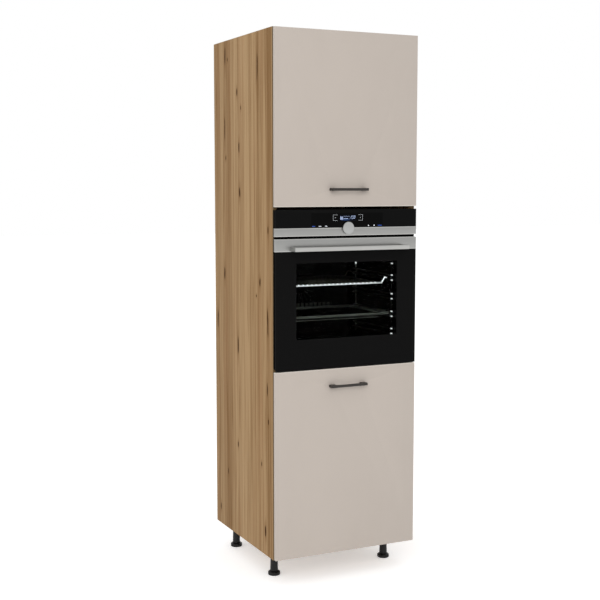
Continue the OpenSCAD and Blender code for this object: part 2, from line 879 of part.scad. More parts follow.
// Folded return of a steel band, round the end of the oven's front.
module end_return(back, z) {
    both_sides() block([oven_half - steel_return, oven_half], [glass_back, back], z);
}

module control_strip() {
    color([0.63, 0.63, 0.62]) {
        difference() {
            block([-oven_half, oven_half], [-oven_face, glass_back], [strip_low, fascia_low]);
            bar_y(0, [-oven_face - 1, glass_back + 1], knob_z, 6);
        }
        end_return(-0.5, [strip_low, fascia_low]);
    }
}

module display() {
    color([0.1, 0.2, 0.35])
        block([-display_half, display_half], [-oven_face + 0.2, glass_back + 5],
              [display_z[0] + 0.2, display_z[1] - 0.2]);
}

// Turned knob with a slightly domed face, and its shaft.
module control_knob() {
    back = -oven_face - 0.5;
    dome_rise = 1.4;
    dome_steps = 8;
    dome = [for (i = [0:dome_steps]) let (r = (knob_radius - 0.8) * (1 - i / dome_steps))
        [r, knob_reach - dome_rise * pow(r / knob_radius, 2)]];
    color([0.7, 0.7, 0.7]) {
        translate([0, y_at(back), knob_z]) rotate([90, 0, 0]) rotate_extrude()
            polygon(concat([[0, 0], [knob_radius - 1, 0], [knob_radius, 1],
                            [knob_radius, knob_reach - dome_rise - 0.8]], dome));
        bar_y(0, [back - 1, -8], knob_z, shaft);
    }
}

// ---------------------------------------------------------------- oven door

module door_outer_glass() {
    color([0.08, 0.08, 0.08])
        block([-oven_half, oven_half], [-oven_face, glass_back], [oven_low, trim_low]);
}

// Two inner panes, held in the frame.
module door_inner_glass() {
    color([0.5, 0.55, 0.55]) for (d = [-13.5, door_back - glass_thick])
        block([-door_cheek + 0.2, door_cheek - 0.2], [d, d + glass_thick],
              [oven_low + 44, trim_low + 1]);
}

// Steel top of the door, folded back over the frame.
module door_trim() {
    color([0.6, 0.6, 0.59]) {
        block([-oven_half, oven_half], [-oven_face, glass_back], [trim_low, door_top]);
        block([-oven_half, oven_half], [glass_back, door_back - 0.5],
              [door_top - steel_return, door_top]);
        end_return(door_back - 0.5, [trim_low, door_top]);
    }
}

// Frame: two columns, two rails, and cheeks that hold the hinge pins at the lower corners.
module door_frame() {
    depth = [glass_back, door_back];
    top = door_top - 1.6;
    notch_top = door_axis_z + 8;
    rail_low = oven_low + 6;
    color([0.15, 0.15, 0.15]) {
        difference() {
            both_sides() block([door_cheek, door_column], depth, [rail_low, top]);
            both_sides() block([door_arm_x - 6, door_arm_x + 6], [glass_back - 1, 0],
                               [rail_low - 1, notch_top]);
        }
        block([-door_cheek, door_cheek], depth, [rail_low, oven_low + 43.8]);
        block([-door_cheek, door_cheek], depth, [trim_low + 1.2, top]);
        both_sides()
            bar_x([door_cheek + 2, door_column - 2], door_axis_depth, door_axis_z, door_pin);
    }
}

// Bar with a softened face, on a post at each end.
module oven_handle() {
    z = trim_low + 9.7;
    half = oven_handle_length / 2;
    reach = oven_face + oven_handle_reach;
    color([0.68, 0.68, 0.67]) {
        translate([-half, y_at(-reach), z]) rotate([90, 0, 90])
            linear_extrude(oven_handle_length) translate([7, 0]) rounded(14, 17, 4);
        both_sides() difference() {
            block([half - 14, half], [-reach + 10, -oven_face], [z - 8, z + 8]);
            bar_x([half - 15, half + 1], -oven_face - 18, z - 14, 9);
        }
    }
}

// ---------------------------------------------------------------- oven furniture

// Wire shelf: side rails on the rack wires, cranked over a hump and down to a grid of rods.
module wire_shelf() {
    side_span = [shelf_ends[0] - wire - wire_end, shelf_ends[1] + wire + wire_end];
    color("silver") {
        both_sides() {
            bar_y(shelf_rail_x, side_span, shelf_rail_z, wire);
            bar_y(grid_half, side_span, shelf_low, wire);
            for (d = shelf_ends)
                wire_path([[grid_half, d, shelf_low], [crank_top[0], d, crank_top[1]],
                           [shelf_rail_x, d, shelf_rail_z]], crank_wire);
        }
        for (d = [shelf_ends[0], (shelf_ends[0] + shelf_ends[1]) / 2, shelf_ends[1]])
            bar_x([-grid_half, grid_half], d, shelf_low, cross_wire);
        for (i = [0:shelf_rods - 1])
            bar_y((i - (shelf_rods - 1) / 2) * rod_pitch, side_span,
                  shelf_low + wire + rod_wire - 0.8, rod_wire);
    }
}

// Shallow enamelled tray. Its rim turns down, and carries a runner on each side that sits on
// the rack wires.
module baking_tray() {
    inner_ends = [tray_ends[0] + tray_wall, tray_ends[1] - tray_wall];
    rim_inner = [tray_rim_ends[0] + tray_wall, tray_rim_ends[1] - tray_wall];
    color([0.2, 0.2, 0.2]) {
        difference() {
            union() {
                difference() {
                    plate_z(tray_rim_half, tray_rim_ends, tray_rim_corner,
                            [tray_top - tray_skirt, tray_top]);
                    plate_z(tray_rim_half - tray_wall, rim_inner, tray_rim_corner - tray_wall,
                            [tray_top - tray_skirt - 1, tray_top - tray_wall]);
                }
                plate_z(tray_half, tray_ends, tray_corner,
                        [tray_floor, tray_top - tray_wall / 2]);
            }
            plate_z(tray_half - tray_wall, inner_ends, tray_corner - tray_wall,
                    [tray_floor + tray_wall, tray_top + 1]);
        }
        both_sides() block([tray_rim_half - 3.2, tray_rim_half - 0.2], tray_runner,
                           [tray_rest, tray_top - tray_wall / 2]);
    }
}

side_left();
side_right();
bottom_panel();
oven_shelf();
upper_deck();
top_panel();
back_lower();
back_upper();
rear_rail();
inner_shelf();
shelf_pins();
cam_fittings();
leg_sockets();
flap_hinge_arms();
strut_wall_brackets();
cabinet_rails();
oven_casing();
oven_cavity();
oven_front_frame();
door_gasket();
fan_cover();
ring_heater();
grill_element();
fan_motor();
oven_lamp();
side_racks();
control_housing();
control_fascia();
control_strip();
display();
door_hinge_arms();
upper_front();
upper_handle();
flap_hinge_cups();
strut_door_brackets();
lower_front();
lower_handle();
drawer_sides();
drawer_back();
drawer_bottom();
drawer_rails();
runner_mid_left();
runner_mid_right();
door_outer_glass();
door_inner_glass();
door_trim();
door_frame();
oven_handle();
control_knob();
convection_fan();
wire_shelf();
baking_tray();
foot_front_left();
foot_front_right();
foot_back_left();
foot_back_right();
strut_cylinder_left();
strut_cylinder_right();
strut_rod_left();
strut_rod_right();
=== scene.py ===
import json
import math

import bpy
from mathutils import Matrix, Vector

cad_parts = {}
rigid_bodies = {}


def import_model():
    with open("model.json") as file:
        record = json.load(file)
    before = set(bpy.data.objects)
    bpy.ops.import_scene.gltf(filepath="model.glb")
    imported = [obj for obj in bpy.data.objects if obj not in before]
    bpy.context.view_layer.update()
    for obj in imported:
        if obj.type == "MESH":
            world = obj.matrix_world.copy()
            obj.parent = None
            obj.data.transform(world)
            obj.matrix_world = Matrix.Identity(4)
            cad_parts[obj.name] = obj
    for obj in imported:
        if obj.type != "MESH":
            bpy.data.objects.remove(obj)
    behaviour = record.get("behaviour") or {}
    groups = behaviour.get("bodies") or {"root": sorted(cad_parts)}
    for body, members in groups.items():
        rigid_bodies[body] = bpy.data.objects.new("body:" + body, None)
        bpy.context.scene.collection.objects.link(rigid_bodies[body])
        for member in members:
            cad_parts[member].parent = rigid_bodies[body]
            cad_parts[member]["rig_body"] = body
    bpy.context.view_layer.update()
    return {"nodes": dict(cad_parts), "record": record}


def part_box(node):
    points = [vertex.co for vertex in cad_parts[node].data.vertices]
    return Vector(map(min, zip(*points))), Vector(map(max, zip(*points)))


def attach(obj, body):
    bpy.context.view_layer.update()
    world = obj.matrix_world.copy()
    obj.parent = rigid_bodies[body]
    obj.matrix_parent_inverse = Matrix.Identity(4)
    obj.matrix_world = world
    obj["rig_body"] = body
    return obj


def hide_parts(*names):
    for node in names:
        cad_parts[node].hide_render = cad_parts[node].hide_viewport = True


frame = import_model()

bl_info = {
    "name": "Tall oven housing unit",
    "version": (1, 0, 0),
    "blender": (4, 5, 0),
    "location": "View3D > Sidebar > Housing unit",
    "description": "Finishes the boards, fronts, fittings and built-in oven of a tall unit",
    "category": "Object",
}

MM = 0.001
BLACK, WHITE = (0.0, 0.0, 0.0, 1.0), (1.0, 1.0, 1.0, 1.0)
# Depths are measured back from the front edges of the carcass, as a joiner would.
FRONT_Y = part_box("side_left")[0].y
SIDES = (-1, 1)
FEET = ("foot_front_left", "foot_front_right", "foot_back_left", "foot_back_right")
INWARDS, OUTWARDS = (0.0, 1.0, 0.0), (0.0, -1.0, 0.0)
UPWARDS, DOWNWARDS = (0.0, 0.0, 1.0), (0.0, 0.0, -1.0)


def at_depth(depth):
    """The frame's y for a depth in millimetres behind the carcass front."""
    return FRONT_Y + depth * MM


def middle_of(node):
    """The middle of a CAD node's box."""
    return sum(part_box(node), Vector()) / 2


def paint(red, green, blue):
    """A colour as read off a swatch, 0 to 255, turned into Blender's linear values."""
    def linear(value):
        share = value / 255
        return share / 12.92 if share <= 0.04045 else ((share + 0.055) / 1.055) ** 2.4
    return (linear(red), linear(green), linear(blue), 1.0)


def grey(value):
    return paint(value, value, value)


def dimmed(swatch, share):
    """A colour with its light cut to a share."""
    return tuple(share * part for part in swatch[:3]) + (1.0,)


# ------------------------------------------------------------------ settings

def length(label, about, millimetres):
    return bpy.props.FloatProperty(
        name=label, description=about, default=millimetres * MM, min=0.0, unit="LENGTH",
        precision=5)


def colour(label, about, *swatch):
    return bpy.props.FloatVectorProperty(
        name=label, description=about, default=paint(*swatch), size=4, min=0.0, max=1.0,
        subtype="COLOR")


class HousingSizes(bpy.types.PropertyGroup):
    """Sizes that the finish of the unit is made to."""
    board_edge: length("Board edge", "Radius on the edges of the boards", 0.5)
    front_edge: length("Front edge", "Radius on the edges of the two fronts", 1.1)
    glass_edge: length("Glass edge", "Ground radius on the edges of the oven glass", 0.6)
    steel_edge: length("Steel edge", "Radius on folded and cut steel", 0.3)
    handle_edge: length("Handle edge", "Radius on the edges of the handles", 1.6)
    moulded_edge: length("Moulded edge", "Radius on moulded plastic", 0.6)
    window_width: length("Window width", "Width of the clear window in the oven door", 428)
    window_height: length("Window height", "Height of the clear window", 284)
    window_middle: length("Window middle", "Height of the window's middle", 1074)
    screw_head: length("Screw head", "Radius of the pan head screws", 3.6)
    cam_face: length("Cam face", "Radius of the slotted faces of the cams", 6.8)


class HousingColours(bpy.types.PropertyGroup):
    """Colours of the unit's surfaces."""
    oak_light: colour("Light oak", "Pale strips of the oak", 171, 142, 106)
    oak_dark: colour("Dark oak", "Dark strips of the oak", 122, 91, 58)
    oak_knot: colour("Oak knots", "Heart of knots and cracks", 48, 24, 10)
    beige: colour("Front beige", "Matte lacquer of the two fronts", 187, 177, 168)
    handle_black: colour("Handle black", "Powder coat of the bow handles", 46, 42, 39)
    plastic_black: colour("Plastic black", "Moulded black plastic", 9, 9, 9)
    glass_black: colour("Glass black", "Print behind the oven's glass", 19, 19, 19)
    steel: colour("Stainless", "Brushed stainless steel of the bands", 161, 161, 159)
    bright_steel: colour("Bright steel", "Finer brushed steel of the oven's handle", 186, 186, 183)
    enamel: colour("Enamel", "Dark vitreous enamel of the cavity", 14, 14, 15)
    glow: colour("Display glow", "Lit elements of the display", 196, 214, 255)


# ------------------------------------------------------------------ node trees

class Tree:
    """Short calls for adding and linking the nodes of one node tree."""

    def __init__(self, tree):
        self.tree = tree

    def add(self, kind, *sockets, **settings):
        """One node. Sockets are pairs of an input's name or number and its value or source."""
        made = self.tree.nodes.new(kind)
        for name, value in settings.items():
            setattr(made, name, value)
        for name, value in sockets:
            self.feed(made.inputs[name], value)
        return made

    def feed(self, socket, value):
        """Links a source to a socket, or sets its value."""
        if isinstance(value, bpy.types.NodeSocket):
            self.tree.links.new(value, socket)
        else:
            socket.default_value = value

    def math(self, operation, a, b=0.0, clamp=False):
        made = self.add("ShaderNodeMath", (0, a), (1, b), operation=operation, use_clamp=clamp)
        return made.outputs[0]

    def total(self, *parts):
        """The sum of several values, each given with the share it counts for."""
        tone = 0.0
        for value, share in parts:
            tone = self.math("ADD", tone, self.math("MULTIPLY", value, share))
        return tone

    def vector(self, operation, a, b=(0.0, 0.0, 0.0)):
        return self.add("ShaderNodeVectorMath", (0, a), (1, b), operation=operation).outputs[0]

    def distance(self, vector):
        made = self.add("ShaderNodeVectorMath", (0, vector), operation="LENGTH")
        return made.outputs["Value"]

    def mix(self, share, a, b):
        """Colour a where share is 0 and colour b where it is 1."""
        made = self.add("ShaderNodeMix", data_type="RGBA")
        # A mix node has its factor, two numbers, two vectors and then its two colours.
        for place, value in ((0, share), (6, a), (7, b)):
            self.feed(made.inputs[place], value)
        return made.outputs[2]

    def laid(self, body, colour, mask, strength):
        """A colour laid over the body where the mask is, at a given strength."""
        return self.mix(self.math("MULTIPLY", mask, strength), body, colour)

    def between(self, share, low, high):
        """A number that runs from low to high as share runs from 0 to 1."""
        made = self.add("ShaderNodeMapRange", ("Value", share), ("To Min", low), ("To Max", high))
        return made.outputs[0]

    def fade(self, value, start, end):
        """0 at start and 1 at end, with a soft step between them."""
        made = self.add("ShaderNodeMapRange", ("Value", value), ("From Min", start),
                        ("From Max", end), interpolation_type="SMOOTHSTEP")
        return made.outputs[0]

    def near(self, value, middle, wide, narrow):
        """1 within the narrow distance of a middle value, and 0 past the wide one."""
        off = self.math("ABSOLUTE", self.math("SUBTRACT", value, middle))
        return self.fade(off, wide, narrow)

    def noise(self, vector, scale, detail, roughness):
        made = self.add("ShaderNodeTexNoise", ("Vector", vector), ("Scale", scale),
                        ("Detail", detail), ("Roughness", roughness))
        return made.outputs[0]

    def stretched(self, vector, *scale):
        return self.vector("MULTIPLY", vector, scale)

    def split(self, vector):
        return self.add("ShaderNodeSeparateXYZ", (0, vector)).outputs

    def joined(self, x, y, z):
        return self.add("ShaderNodeCombineXYZ", (0, x), (1, y), (2, z)).outputs[0]

    def place(self):
        return self.add("ShaderNodeTexCoord").outputs["Object"]

    def bump(self, height, depth):
        made = self.add("ShaderNodeBump", ("Height", height), ("Distance", depth),
                        ("Strength", 1.0))
        return made.outputs[0]

    def group(self, shared, *sockets):
        return self.add("ShaderNodeGroup", *sockets, node_tree=shared).outputs

    def wear(self, place):
        """How much a spot has been handled, from 0 to 1."""
        return self.group(handling(), ("Vector", place))["Tone"]

    def grain(self, place, size):
        """The outputs of a fine grain of a size in millimetres."""
        return self.group(fine_grain(), ("Vector", place), ("Size", size * MM))


def shared_effect(name, inputs, outputs, build):
    """A node group for an effect that several materials use, built once."""
    made = bpy.data.node_groups.get(name)
    if made:
        return made
    made = bpy.data.node_groups.new(name, "ShaderNodeTree")
    for label, kind in inputs:
        made.interface.new_socket(label, in_out="INPUT", socket_type="NodeSocket" + kind)
    for label, kind in outputs:
        made.interface.new_socket(label, in_out="OUTPUT", socket_type="NodeSocket" + kind)
    start = made.nodes.new("NodeGroupInput")
    end = made.nodes.new("NodeGroupOutput")
    for label, value in build(Tree(made), start.outputs).items():
        made.links.new(value, end.inputs[label])
    return made


def fine_grain():
    """Moulded or sprayed grain of a given size."""
    def build(t, i):
        grain = t.noise(i["Vector"], t.math("DIVIDE", 1.0, i["Size"]), 3.0, 0.6)
        return {"Tone": t.fade(grain, 0.3, 0.7), "Height": grain}
    return shared_effect("fine_grain", [("Vector", "Vector"), ("Size", "Float")],
                         [("Tone", "Float"), ("Height", "Float")], build)


def handling():
    """Broad uneven patches, as cloth and fingers leave on a surface."""
    def build(t, i):
        broad = t.noise(t.stretched(i["Vector"], 3.0, 3.0, 2.2), 1.0, 4.0, 0.6)
        smear = t.noise(t.stretched(i["Vector"], 14.0, 14.0, 5.0), 1.0, 3.0, 0.5)
        return {"Tone": t.math("MULTIPLY", t.fade(broad, 0.35, 0.7), t.fade(smear, 0.2, 0.8))}
    return shared_effect("handling", [("Vector", "Vector")], [("Tone", "Float")], build)


def brushing():
    """Fine straight lines, long the way that Stretch is small."""
    def build(t, i):
        lines = t.noise(t.vector("MULTIPLY", i["Vector"], i["Stretch"]), 1.0, 4.0, 0.7)
        return {"Tone": t.fade(lines, 0.25, 0.75), "Height": lines}
    return shared_effect("brushing", [("Vector", "Vector"), ("Stretch", "Vector")],
                         [("Tone", "Float"), ("Height", "Float")], build)


def pane_field():
    """1 inside a rectangle in x and z, as a printed field or a clear window has."""
    def build(t, i):
        inward = t.vector("ABSOLUTE", t.vector("SUBTRACT", i["Vector"], i["Middle"]))
        room = t.split(t.vector("SUBTRACT", i["Half"], inward))
        return {"Inside": t.math("GREATER_THAN", t.math("MINIMUM", room["X"], room["Z"]), 0.0)}
    return shared_effect(
        "pane_field", [("Vector", "Vector"), ("Middle", "Vector"), ("Half", "Vector")],
        [("Inside", "Float")], build)


# Where the strips of the oak side change tone: depth in millimetres, then 0 dark to 1 light.
OAK_STRIPS = (
    (0, 0.2), (44, 0.0), (70, 0.6), (108, 0.7), (128, 0.0), (152, 0.65), (205, 0.6),
    (228, 0.9), (292, 1.0), (328, 0.35), (356, 1.0), (398, 0.6), (428, 0.2), (462, 0.05),
    (495, 0.7), (516, 0.7), (540, 0.1), (562, 0.6),
)
# Cracks and knots on the side: depth, height, half width and half length in millimetres.
OAK_CRACKS = (
    (457, 2012, 5, 34), (137, 1938, 5, 52), (336, 1862, 5, 14), (463, 1728, 4, 44),
    (316, 1649, 4, 20), (454, 1612, 3, 8), (431, 1995, 3, 7), (296, 1800, 3, 8),
    (311, 1476, 6, 19), (473, 1150, 6, 24), (117, 1140, 5, 16), (549, 958, 5, 36),
    (46, 994, 5, 52), (335, 874, 5, 34), (52, 742, 4, 26), (42, 620, 4, 11),
    (338, 474, 4, 11), (71, 192, 6, 22), (446, 340, 3, 14), (531, 172, 4, 14),
    (106, 446, 3, 9), (40, 1338, 4, 14), (150, 1086, 3, 5),
)
OAK_WIDTH = 580


def oak_figure():
    """Figure of sawn oak. The vector runs across, through and along the board, in metres."""
    def build(t, i):
        sway = t.noise(t.stretched(i["Vector"], 2.2, 2.2, 1.4), 1.0, 2.0, 0.5)
        lie = t.vector("ADD", i["Vector"], t.joined(t.between(sway, -0.011, 0.011), 0.0, 0.0))
        share = t.math("DIVIDE", t.split(lie)["X"], OAK_WIDTH * MM)
        strips = t.add("ShaderNodeValToRGB", ("Fac", share))
        ramp = strips.color_ramp
        for depth, tone in OAK_STRIPS[1:-1]:
            ramp.elements.new(depth / OAK_WIDTH).color = (tone, tone, tone, 1.0)
        for end, (depth, tone) in ((0, OAK_STRIPS[0]), (-1, OAK_STRIPS[-1])):
            ramp.elements[end].position = depth / OAK_WIDTH
            ramp.elements[end].color = (tone, tone, tone, 1.0)
        streak = t.noise(t.stretched(lie, 62.0, 62.0, 1.1), 1.0, 3.0, 0.6)
        line = t.noise(t.stretched(lie, 170.0, 170.0, 2.4), 1.0, 2.0, 0.5)
        fibre = t.noise(t.stretched(lie, 460.0, 460.0, 6.0), 1.0, 4.0, 0.7)
        arcs = t.add("ShaderNodeTexWave", ("Vector", t.stretched(lie, 1.0, 0.2, 0.055)),
                     ("Scale", 26.0), ("Distortion", 5.0), ("Detail", 3.0),
                     ("Detail Scale", 1.6), bands_direction="X").outputs[1]
        pores = t.noise(t.stretched(lie, 1500.0, 1500.0, 46.0), 1.0, 1.0, 0.5)
        tone = t.total((strips.outputs[0], 0.6), (t.fade(streak, 0.32, 0.68), 0.5),
                       (t.fade(line, 0.55, 0.68), -0.42), (fibre, 0.36), (arcs, 0.12))
        tone = t.math("SUBTRACT", tone, 0.16, clamp=True)
        warm = t.fade(t.noise(t.stretched(lie, 17.0, 17.0, 0.8), 1.0, 2.0, 0.5), 0.5, 0.75)
        open_pore = t.fade(pores, 0.64, 0.74)
        spots = t.add("ShaderNodeTexVoronoi", ("Vector", t.stretched(lie, 15.0, 15.0, 1.9)),
                      ("Scale", 1.0))
        rare = t.math("GREATER_THAN", t.split(spots.outputs["Color"])["X"], 0.72)
        small = t.math("MULTIPLY", t.fade(spots.outputs["Distance"], 0.11, 0.03), rare)
        body = t.mix(tone, i["Dark"], i["Light"])
        body = t.laid(body, paint(152, 112, 80), warm, 0.3)
        body = t.laid(body, i["Dark"], open_pore, 0.28)
        body = t.laid(body, i["Knot"], small, 0.6)
        relief = t.math("SUBTRACT", fibre, t.math("MULTIPLY", open_pore, 0.8))
        return {"Color": body, "Tone": tone, "Height": relief}
    return shared_effect(
        "oak_figure",
        [("Vector", "Vector"), ("Light", "Color"), ("Dark", "Color"), ("Knot", "Color")],
        [("Color", "Color"), ("Tone", "Float"), ("Height", "Float")], build)


def oak_crack():
    """One long crack with the darkened grain that runs round it."""
    def build(t, i):
        wave = t.noise(t.stretched(i["Vector"], 30.0, 30.0, 14.0), 1.0, 2.0, 0.6)
        bent = t.vector("ADD", i["Vector"], t.joined(t.between(wave, -0.006, 0.006), 0.0, 0.0))
        off = t.vector("DIVIDE", t.vector("SUBTRACT", bent, i["At"]), i["Half"])
        near = t.distance(t.stretched(off, 1.0, 0.0, 1.0))
        far = t.distance(t.stretched(off, 0.3, 0.0, 0.3))
        return {"Crack": t.fade(near, 1.25, 0.7), "Shade": t.fade(far, 1.0, 0.1)}
    return shared_effect(
        "oak_crack", [("Vector", "Vector"), ("At", "Vector"), ("Half", "Vector")],
        [("Crack", "Float"), ("Shade", "Float")], build)


# ------------------------------------------------------------------ materials

# Indices of refraction, held low so that little light glances off at a low angle.
DULL_IOR, GLASS_IOR, CLEAR_PANE_IOR = 1.08, 1.05, 1.03


def finish(name, build, constants):
    """A material: build gives what varies over the surface, constants what doesn't."""
    name = "finish_" + name
    made = bpy.data.materials.get(name)
    if made:
        return made
    made = bpy.data.materials.new(name)
    made.use_nodes = True
    tree = Tree(made.node_tree)
    shader = made.node_tree.nodes["Principled BSDF"]
    for label, value in constants.items():
        shader.inputs[label].default_value = value
    for label, value in build(tree, tree.place()).items():
        made.node_tree.links.new(value, shader.inputs[label])
    return made


def oak(name, along, shift=(0.0, 0.0, 0.0), cracks=()):
    """Oak-faced board with its grain along the named axis, shifted so that boards differ."""
    colours = bpy.context.scene.housing_colours

    def build(t, place):
        axes = t.split(place)
        across = t.math("SUBTRACT", axes["Y"], FRONT_Y)
        through = axes["X" if along == "Z" else "Z"]
        lie = t.vector("ADD", t.joined(across, through, axes[along]), shift)
        figure = t.group(oak_figure(), ("Vector", lie), ("Light", colours.oak_light),
                         ("Dark", colours.oak_dark), ("Knot", colours.oak_knot))
        body, relief = figure["Color"], figure["Height"]
        for depth, height, half_width, half_length in cracks:
            mark = t.group(oak_crack(), ("Vector", lie),
                           ("At", (depth * MM, 0.0, height * MM)),
                           ("Half", (half_width * MM, 1.0, half_length * MM)))
            body = t.laid(body, colours.oak_dark, mark["Shade"], 0.62)
            body = t.laid(body, colours.oak_knot, mark["Crack"], 0.92)
            relief = t.math("SUBTRACT", relief, mark["Crack"])
        # Painted highlight: the face is paler beside the front edge. Painted shade: the tape on
        # that edge is darker.
        body = t.laid(body, paint(190, 164, 126), t.fade(across, 6 * MM, 2 * MM), 0.4)
        body = t.mix(t.fade(across, 0.6 * MM, 0.3 * MM), body, paint(104, 86, 62))
        return {"Base Color": body, "Roughness": t.between(figure["Tone"], 0.7, 0.58),
                "Normal": t.bump(relief, 0.12 * MM)}
    return finish(name, build, {"IOR": DULL_IOR})


def grained(name, base, other, size, rough, relief, constants=None):
    """A plain coloured surface with fine grain and slight unevenness."""
    def build(t, place):
        grain = t.grain(place, size)
        use = t.wear(place)
        tone = t.total((grain["Tone"], 0.35), (use, 0.65))
        return {"Base Color": t.mix(tone, base, other),
                "Roughness": t.between(tone, rough[0], rough[1]),
                "Normal": t.bump(grain["Height"], relief * MM)}
    return finish(name, build, {"Specular IOR Level": 0.3, **(constants or {})})


def brushed(name, base, stretch, rough, relief=0.02, edges=(), constants=None):
    """Brushed metal with its lines along the axis that stretch leaves smallest."""
    def build(t, place):
        lines = t.group(brushing(), ("Vector", place), ("Stretch", stretch))
        tone = t.total((lines["Tone"], 0.6), (t.wear(place), 0.4))
        body = t.mix(tone, dimmed(base, 0.86), base)
        # A painted highlight along each folded edge.
        for edge in edges:
            lit = t.near(t.split(place)["Z"], edge, 3.6 * MM, 1.2 * MM)
            body = t.laid(body, paint(206, 206, 202), lit, 0.6)
        return {"Base Color": body,
                "Roughness": t.between(tone, rough[1], rough[0]),
                "Normal": t.bump(lines["Height"], relief * MM)}
    return finish(name, build, {"Metallic": 1.0, **(constants or {})})


def beige_front(node, bright_edge):
    """Matte lacquered front, lighter along the one edge, at this height, that catches light."""
    colours = bpy.context.scene.housing_colours

    def build(t, place):
        peel = t.grain(place, 1.4)
        use = t.wear(place)
        lit = t.near(t.split(place)["Z"], bright_edge, 4.5 * MM, 1.5 * MM)
        body = t.mix(use, colours.beige, paint(184, 174, 165))
        return {"Base Color": t.laid(body, paint(214, 207, 197), lit, 0.7),
                "Roughness": t.between(use, 0.5, 0.42),
                "Normal": t.bump(peel["Height"], 0.015 * MM)}
    return finish("lacquer_" + node, build, {"Specular IOR Level": 0.3})


def stainless(name, base, edges=()):
    """Stainless steel brushed along x, with a painted highlight along its folded edges, given by
    their heights.
    """
    return brushed(name, base, (4.0, 1400.0, 1400.0), (0.3, 0.42), edges=edges,
                   constants={"Anisotropic": 0.4})


def zinc():
    """Zinc-plated steel with its faint crystals."""
    def build(t, place):
        crystal = t.add("ShaderNodeTexVoronoi", ("Vector", place), ("Scale", 170.0))
        tint = t.split(crystal.outputs["Color"])["X"]
        use = t.wear(place)
        return {"Base Color": t.mix(tint, paint(176, 178, 182), paint(196, 197, 199)),
                "Roughness": t.between(t.math("MULTIPLY", tint, use), 0.38, 0.26),
                "Normal": t.bump(tint, 0.01 * MM)}
    return finish("zinc_plate", build, {"Metallic": 1.0})


def enamel(name, base, shine, gloss=(0.08, 0.14), zone=(0, 0, 0), painted_light=None):
    """Vitreous enamel with painted light in a zone given by its middle height, half width and half
    rise: a painted highlight on the fan guard, painted shade on the tray.
    """
    def build(t, place):
        specks = t.add("ShaderNodeTexVoronoi", ("Vector", place), ("Scale", 420.0))
        rare = t.math("GREATER_THAN", t.split(specks.outputs["Color"])["X"], 0.8)
        speck = t.math("MULTIPLY", t.fade(specks.outputs["Distance"], 0.22, 0.1), rare)
        peel = t.grain(place, 9)
        field = t.group(pane_field(), ("Vector", place), ("Middle", (0.0, 0.0, zone[0] * MM)),
                        ("Half", (zone[1] * MM, 1.0, zone[2] * MM)))
        body = t.mix(field["Inside"], base, painted_light or base)
        return {"Base Color": t.laid(body, paint(110, 112, 118), speck, 0.2),
                "Roughness": t.between(peel["Tone"], gloss[0], gloss[1]),
                "Normal": t.bump(peel["Height"], 0.02 * MM)}
    return finish(name, build, {"Specular IOR Level": shine})


# In millimetres: the depth past which the wire's painted shade turns from near black to a middle
# grey, and the depth and height past which the tops of the rear posts of the racks get a painted
# highlight.
PALER_DEPTH = 66
POST_DEPTH, POST_TOP = 340, 1170


def chrome(name, bright_to, shade_from, reach, crest, lift):
    """Wire with a painted highlight near the door, strongest above a crest, and painted shade
    further in.

    It is bright as far back as bright_to, in painted shade past the depth given after it, and
    bright only within reach of the middle of the unit. The highlight also glows, though the wire
    is no lamp. Lengths are in millimetres.
    """
    def build(t, place):
        lines = t.group(brushing(), ("Vector", place), ("Stretch", (300.0, 90.0, 300.0)))
        axes = t.split(place)
        depth = t.math("SUBTRACT", axes["Y"], FRONT_Y)
        posts = t.math("MULTIPLY", t.fade(depth, POST_DEPTH * MM, (POST_DEPTH + 6) * MM),
                       t.fade(axes["Z"], POST_TOP * MM, (POST_TOP + 5) * MM))
        front = t.math("MULTIPLY", t.fade(depth, shade_from * MM, bright_to * MM),
                       t.fade(t.math("ABSOLUTE", axes["X"]), (reach + 3) * MM, reach * MM))
        lit = t.math("MAXIMUM", front, posts)
        bright = t.mix(lines["Tone"], grey(232), grey(250))
        paler = t.fade(depth, PALER_DEPTH * MM, (PALER_DEPTH + 4) * MM)
        shaded_wire = t.mix(paler, grey(26), paint(104, 104, 98))
        above = t.fade(axes["Z"], (crest - 0.3) * MM, (crest + 0.3) * MM)
        caught = t.mix(above, paint(168, 170, 170), paint(250, 252, 252))
        # The painted highlight is laid in the base colour and glows through the emission, though
        # the wire is no lamp. The rest of the wire is in painted shade.
        return {"Base Color": t.mix(lit, shaded_wire, bright),
                "Emission Color": t.mix(lit, BLACK, caught),
                "Roughness": t.between(lines["Tone"], 0.34, 0.24)}
    return finish(name, build, {"Metallic": 1.0, "Emission Strength": lift})


# The blacker zone of the fascia: its middle in x and z, then its half width and half height.
TOUCH_ZONE = (-2, 1375.5, 151, 25.5)


def printed_glass():
    """Fascia glass: black print, blacker where the touch fields and the display lie."""
    middle_x, middle_z, half_width, half_height = (value * MM for value in TOUCH_ZONE)
    colours = bpy.context.scene.housing_colours

    def build(t, place):
        zone = t.group(pane_field(), ("Vector", place), ("Middle", (middle_x, 0.0, middle_z)),
                       ("Half", (half_width, 1.0, half_height)))
        use = t.wear(place)
        return {"Base Color": t.mix(zone["Inside"], colours.glass_black, grey(14)),
                "Roughness": t.between(use, 0.05, 0.12)}
    return finish("fascia_glass", build, {"IOR": GLASS_IOR})


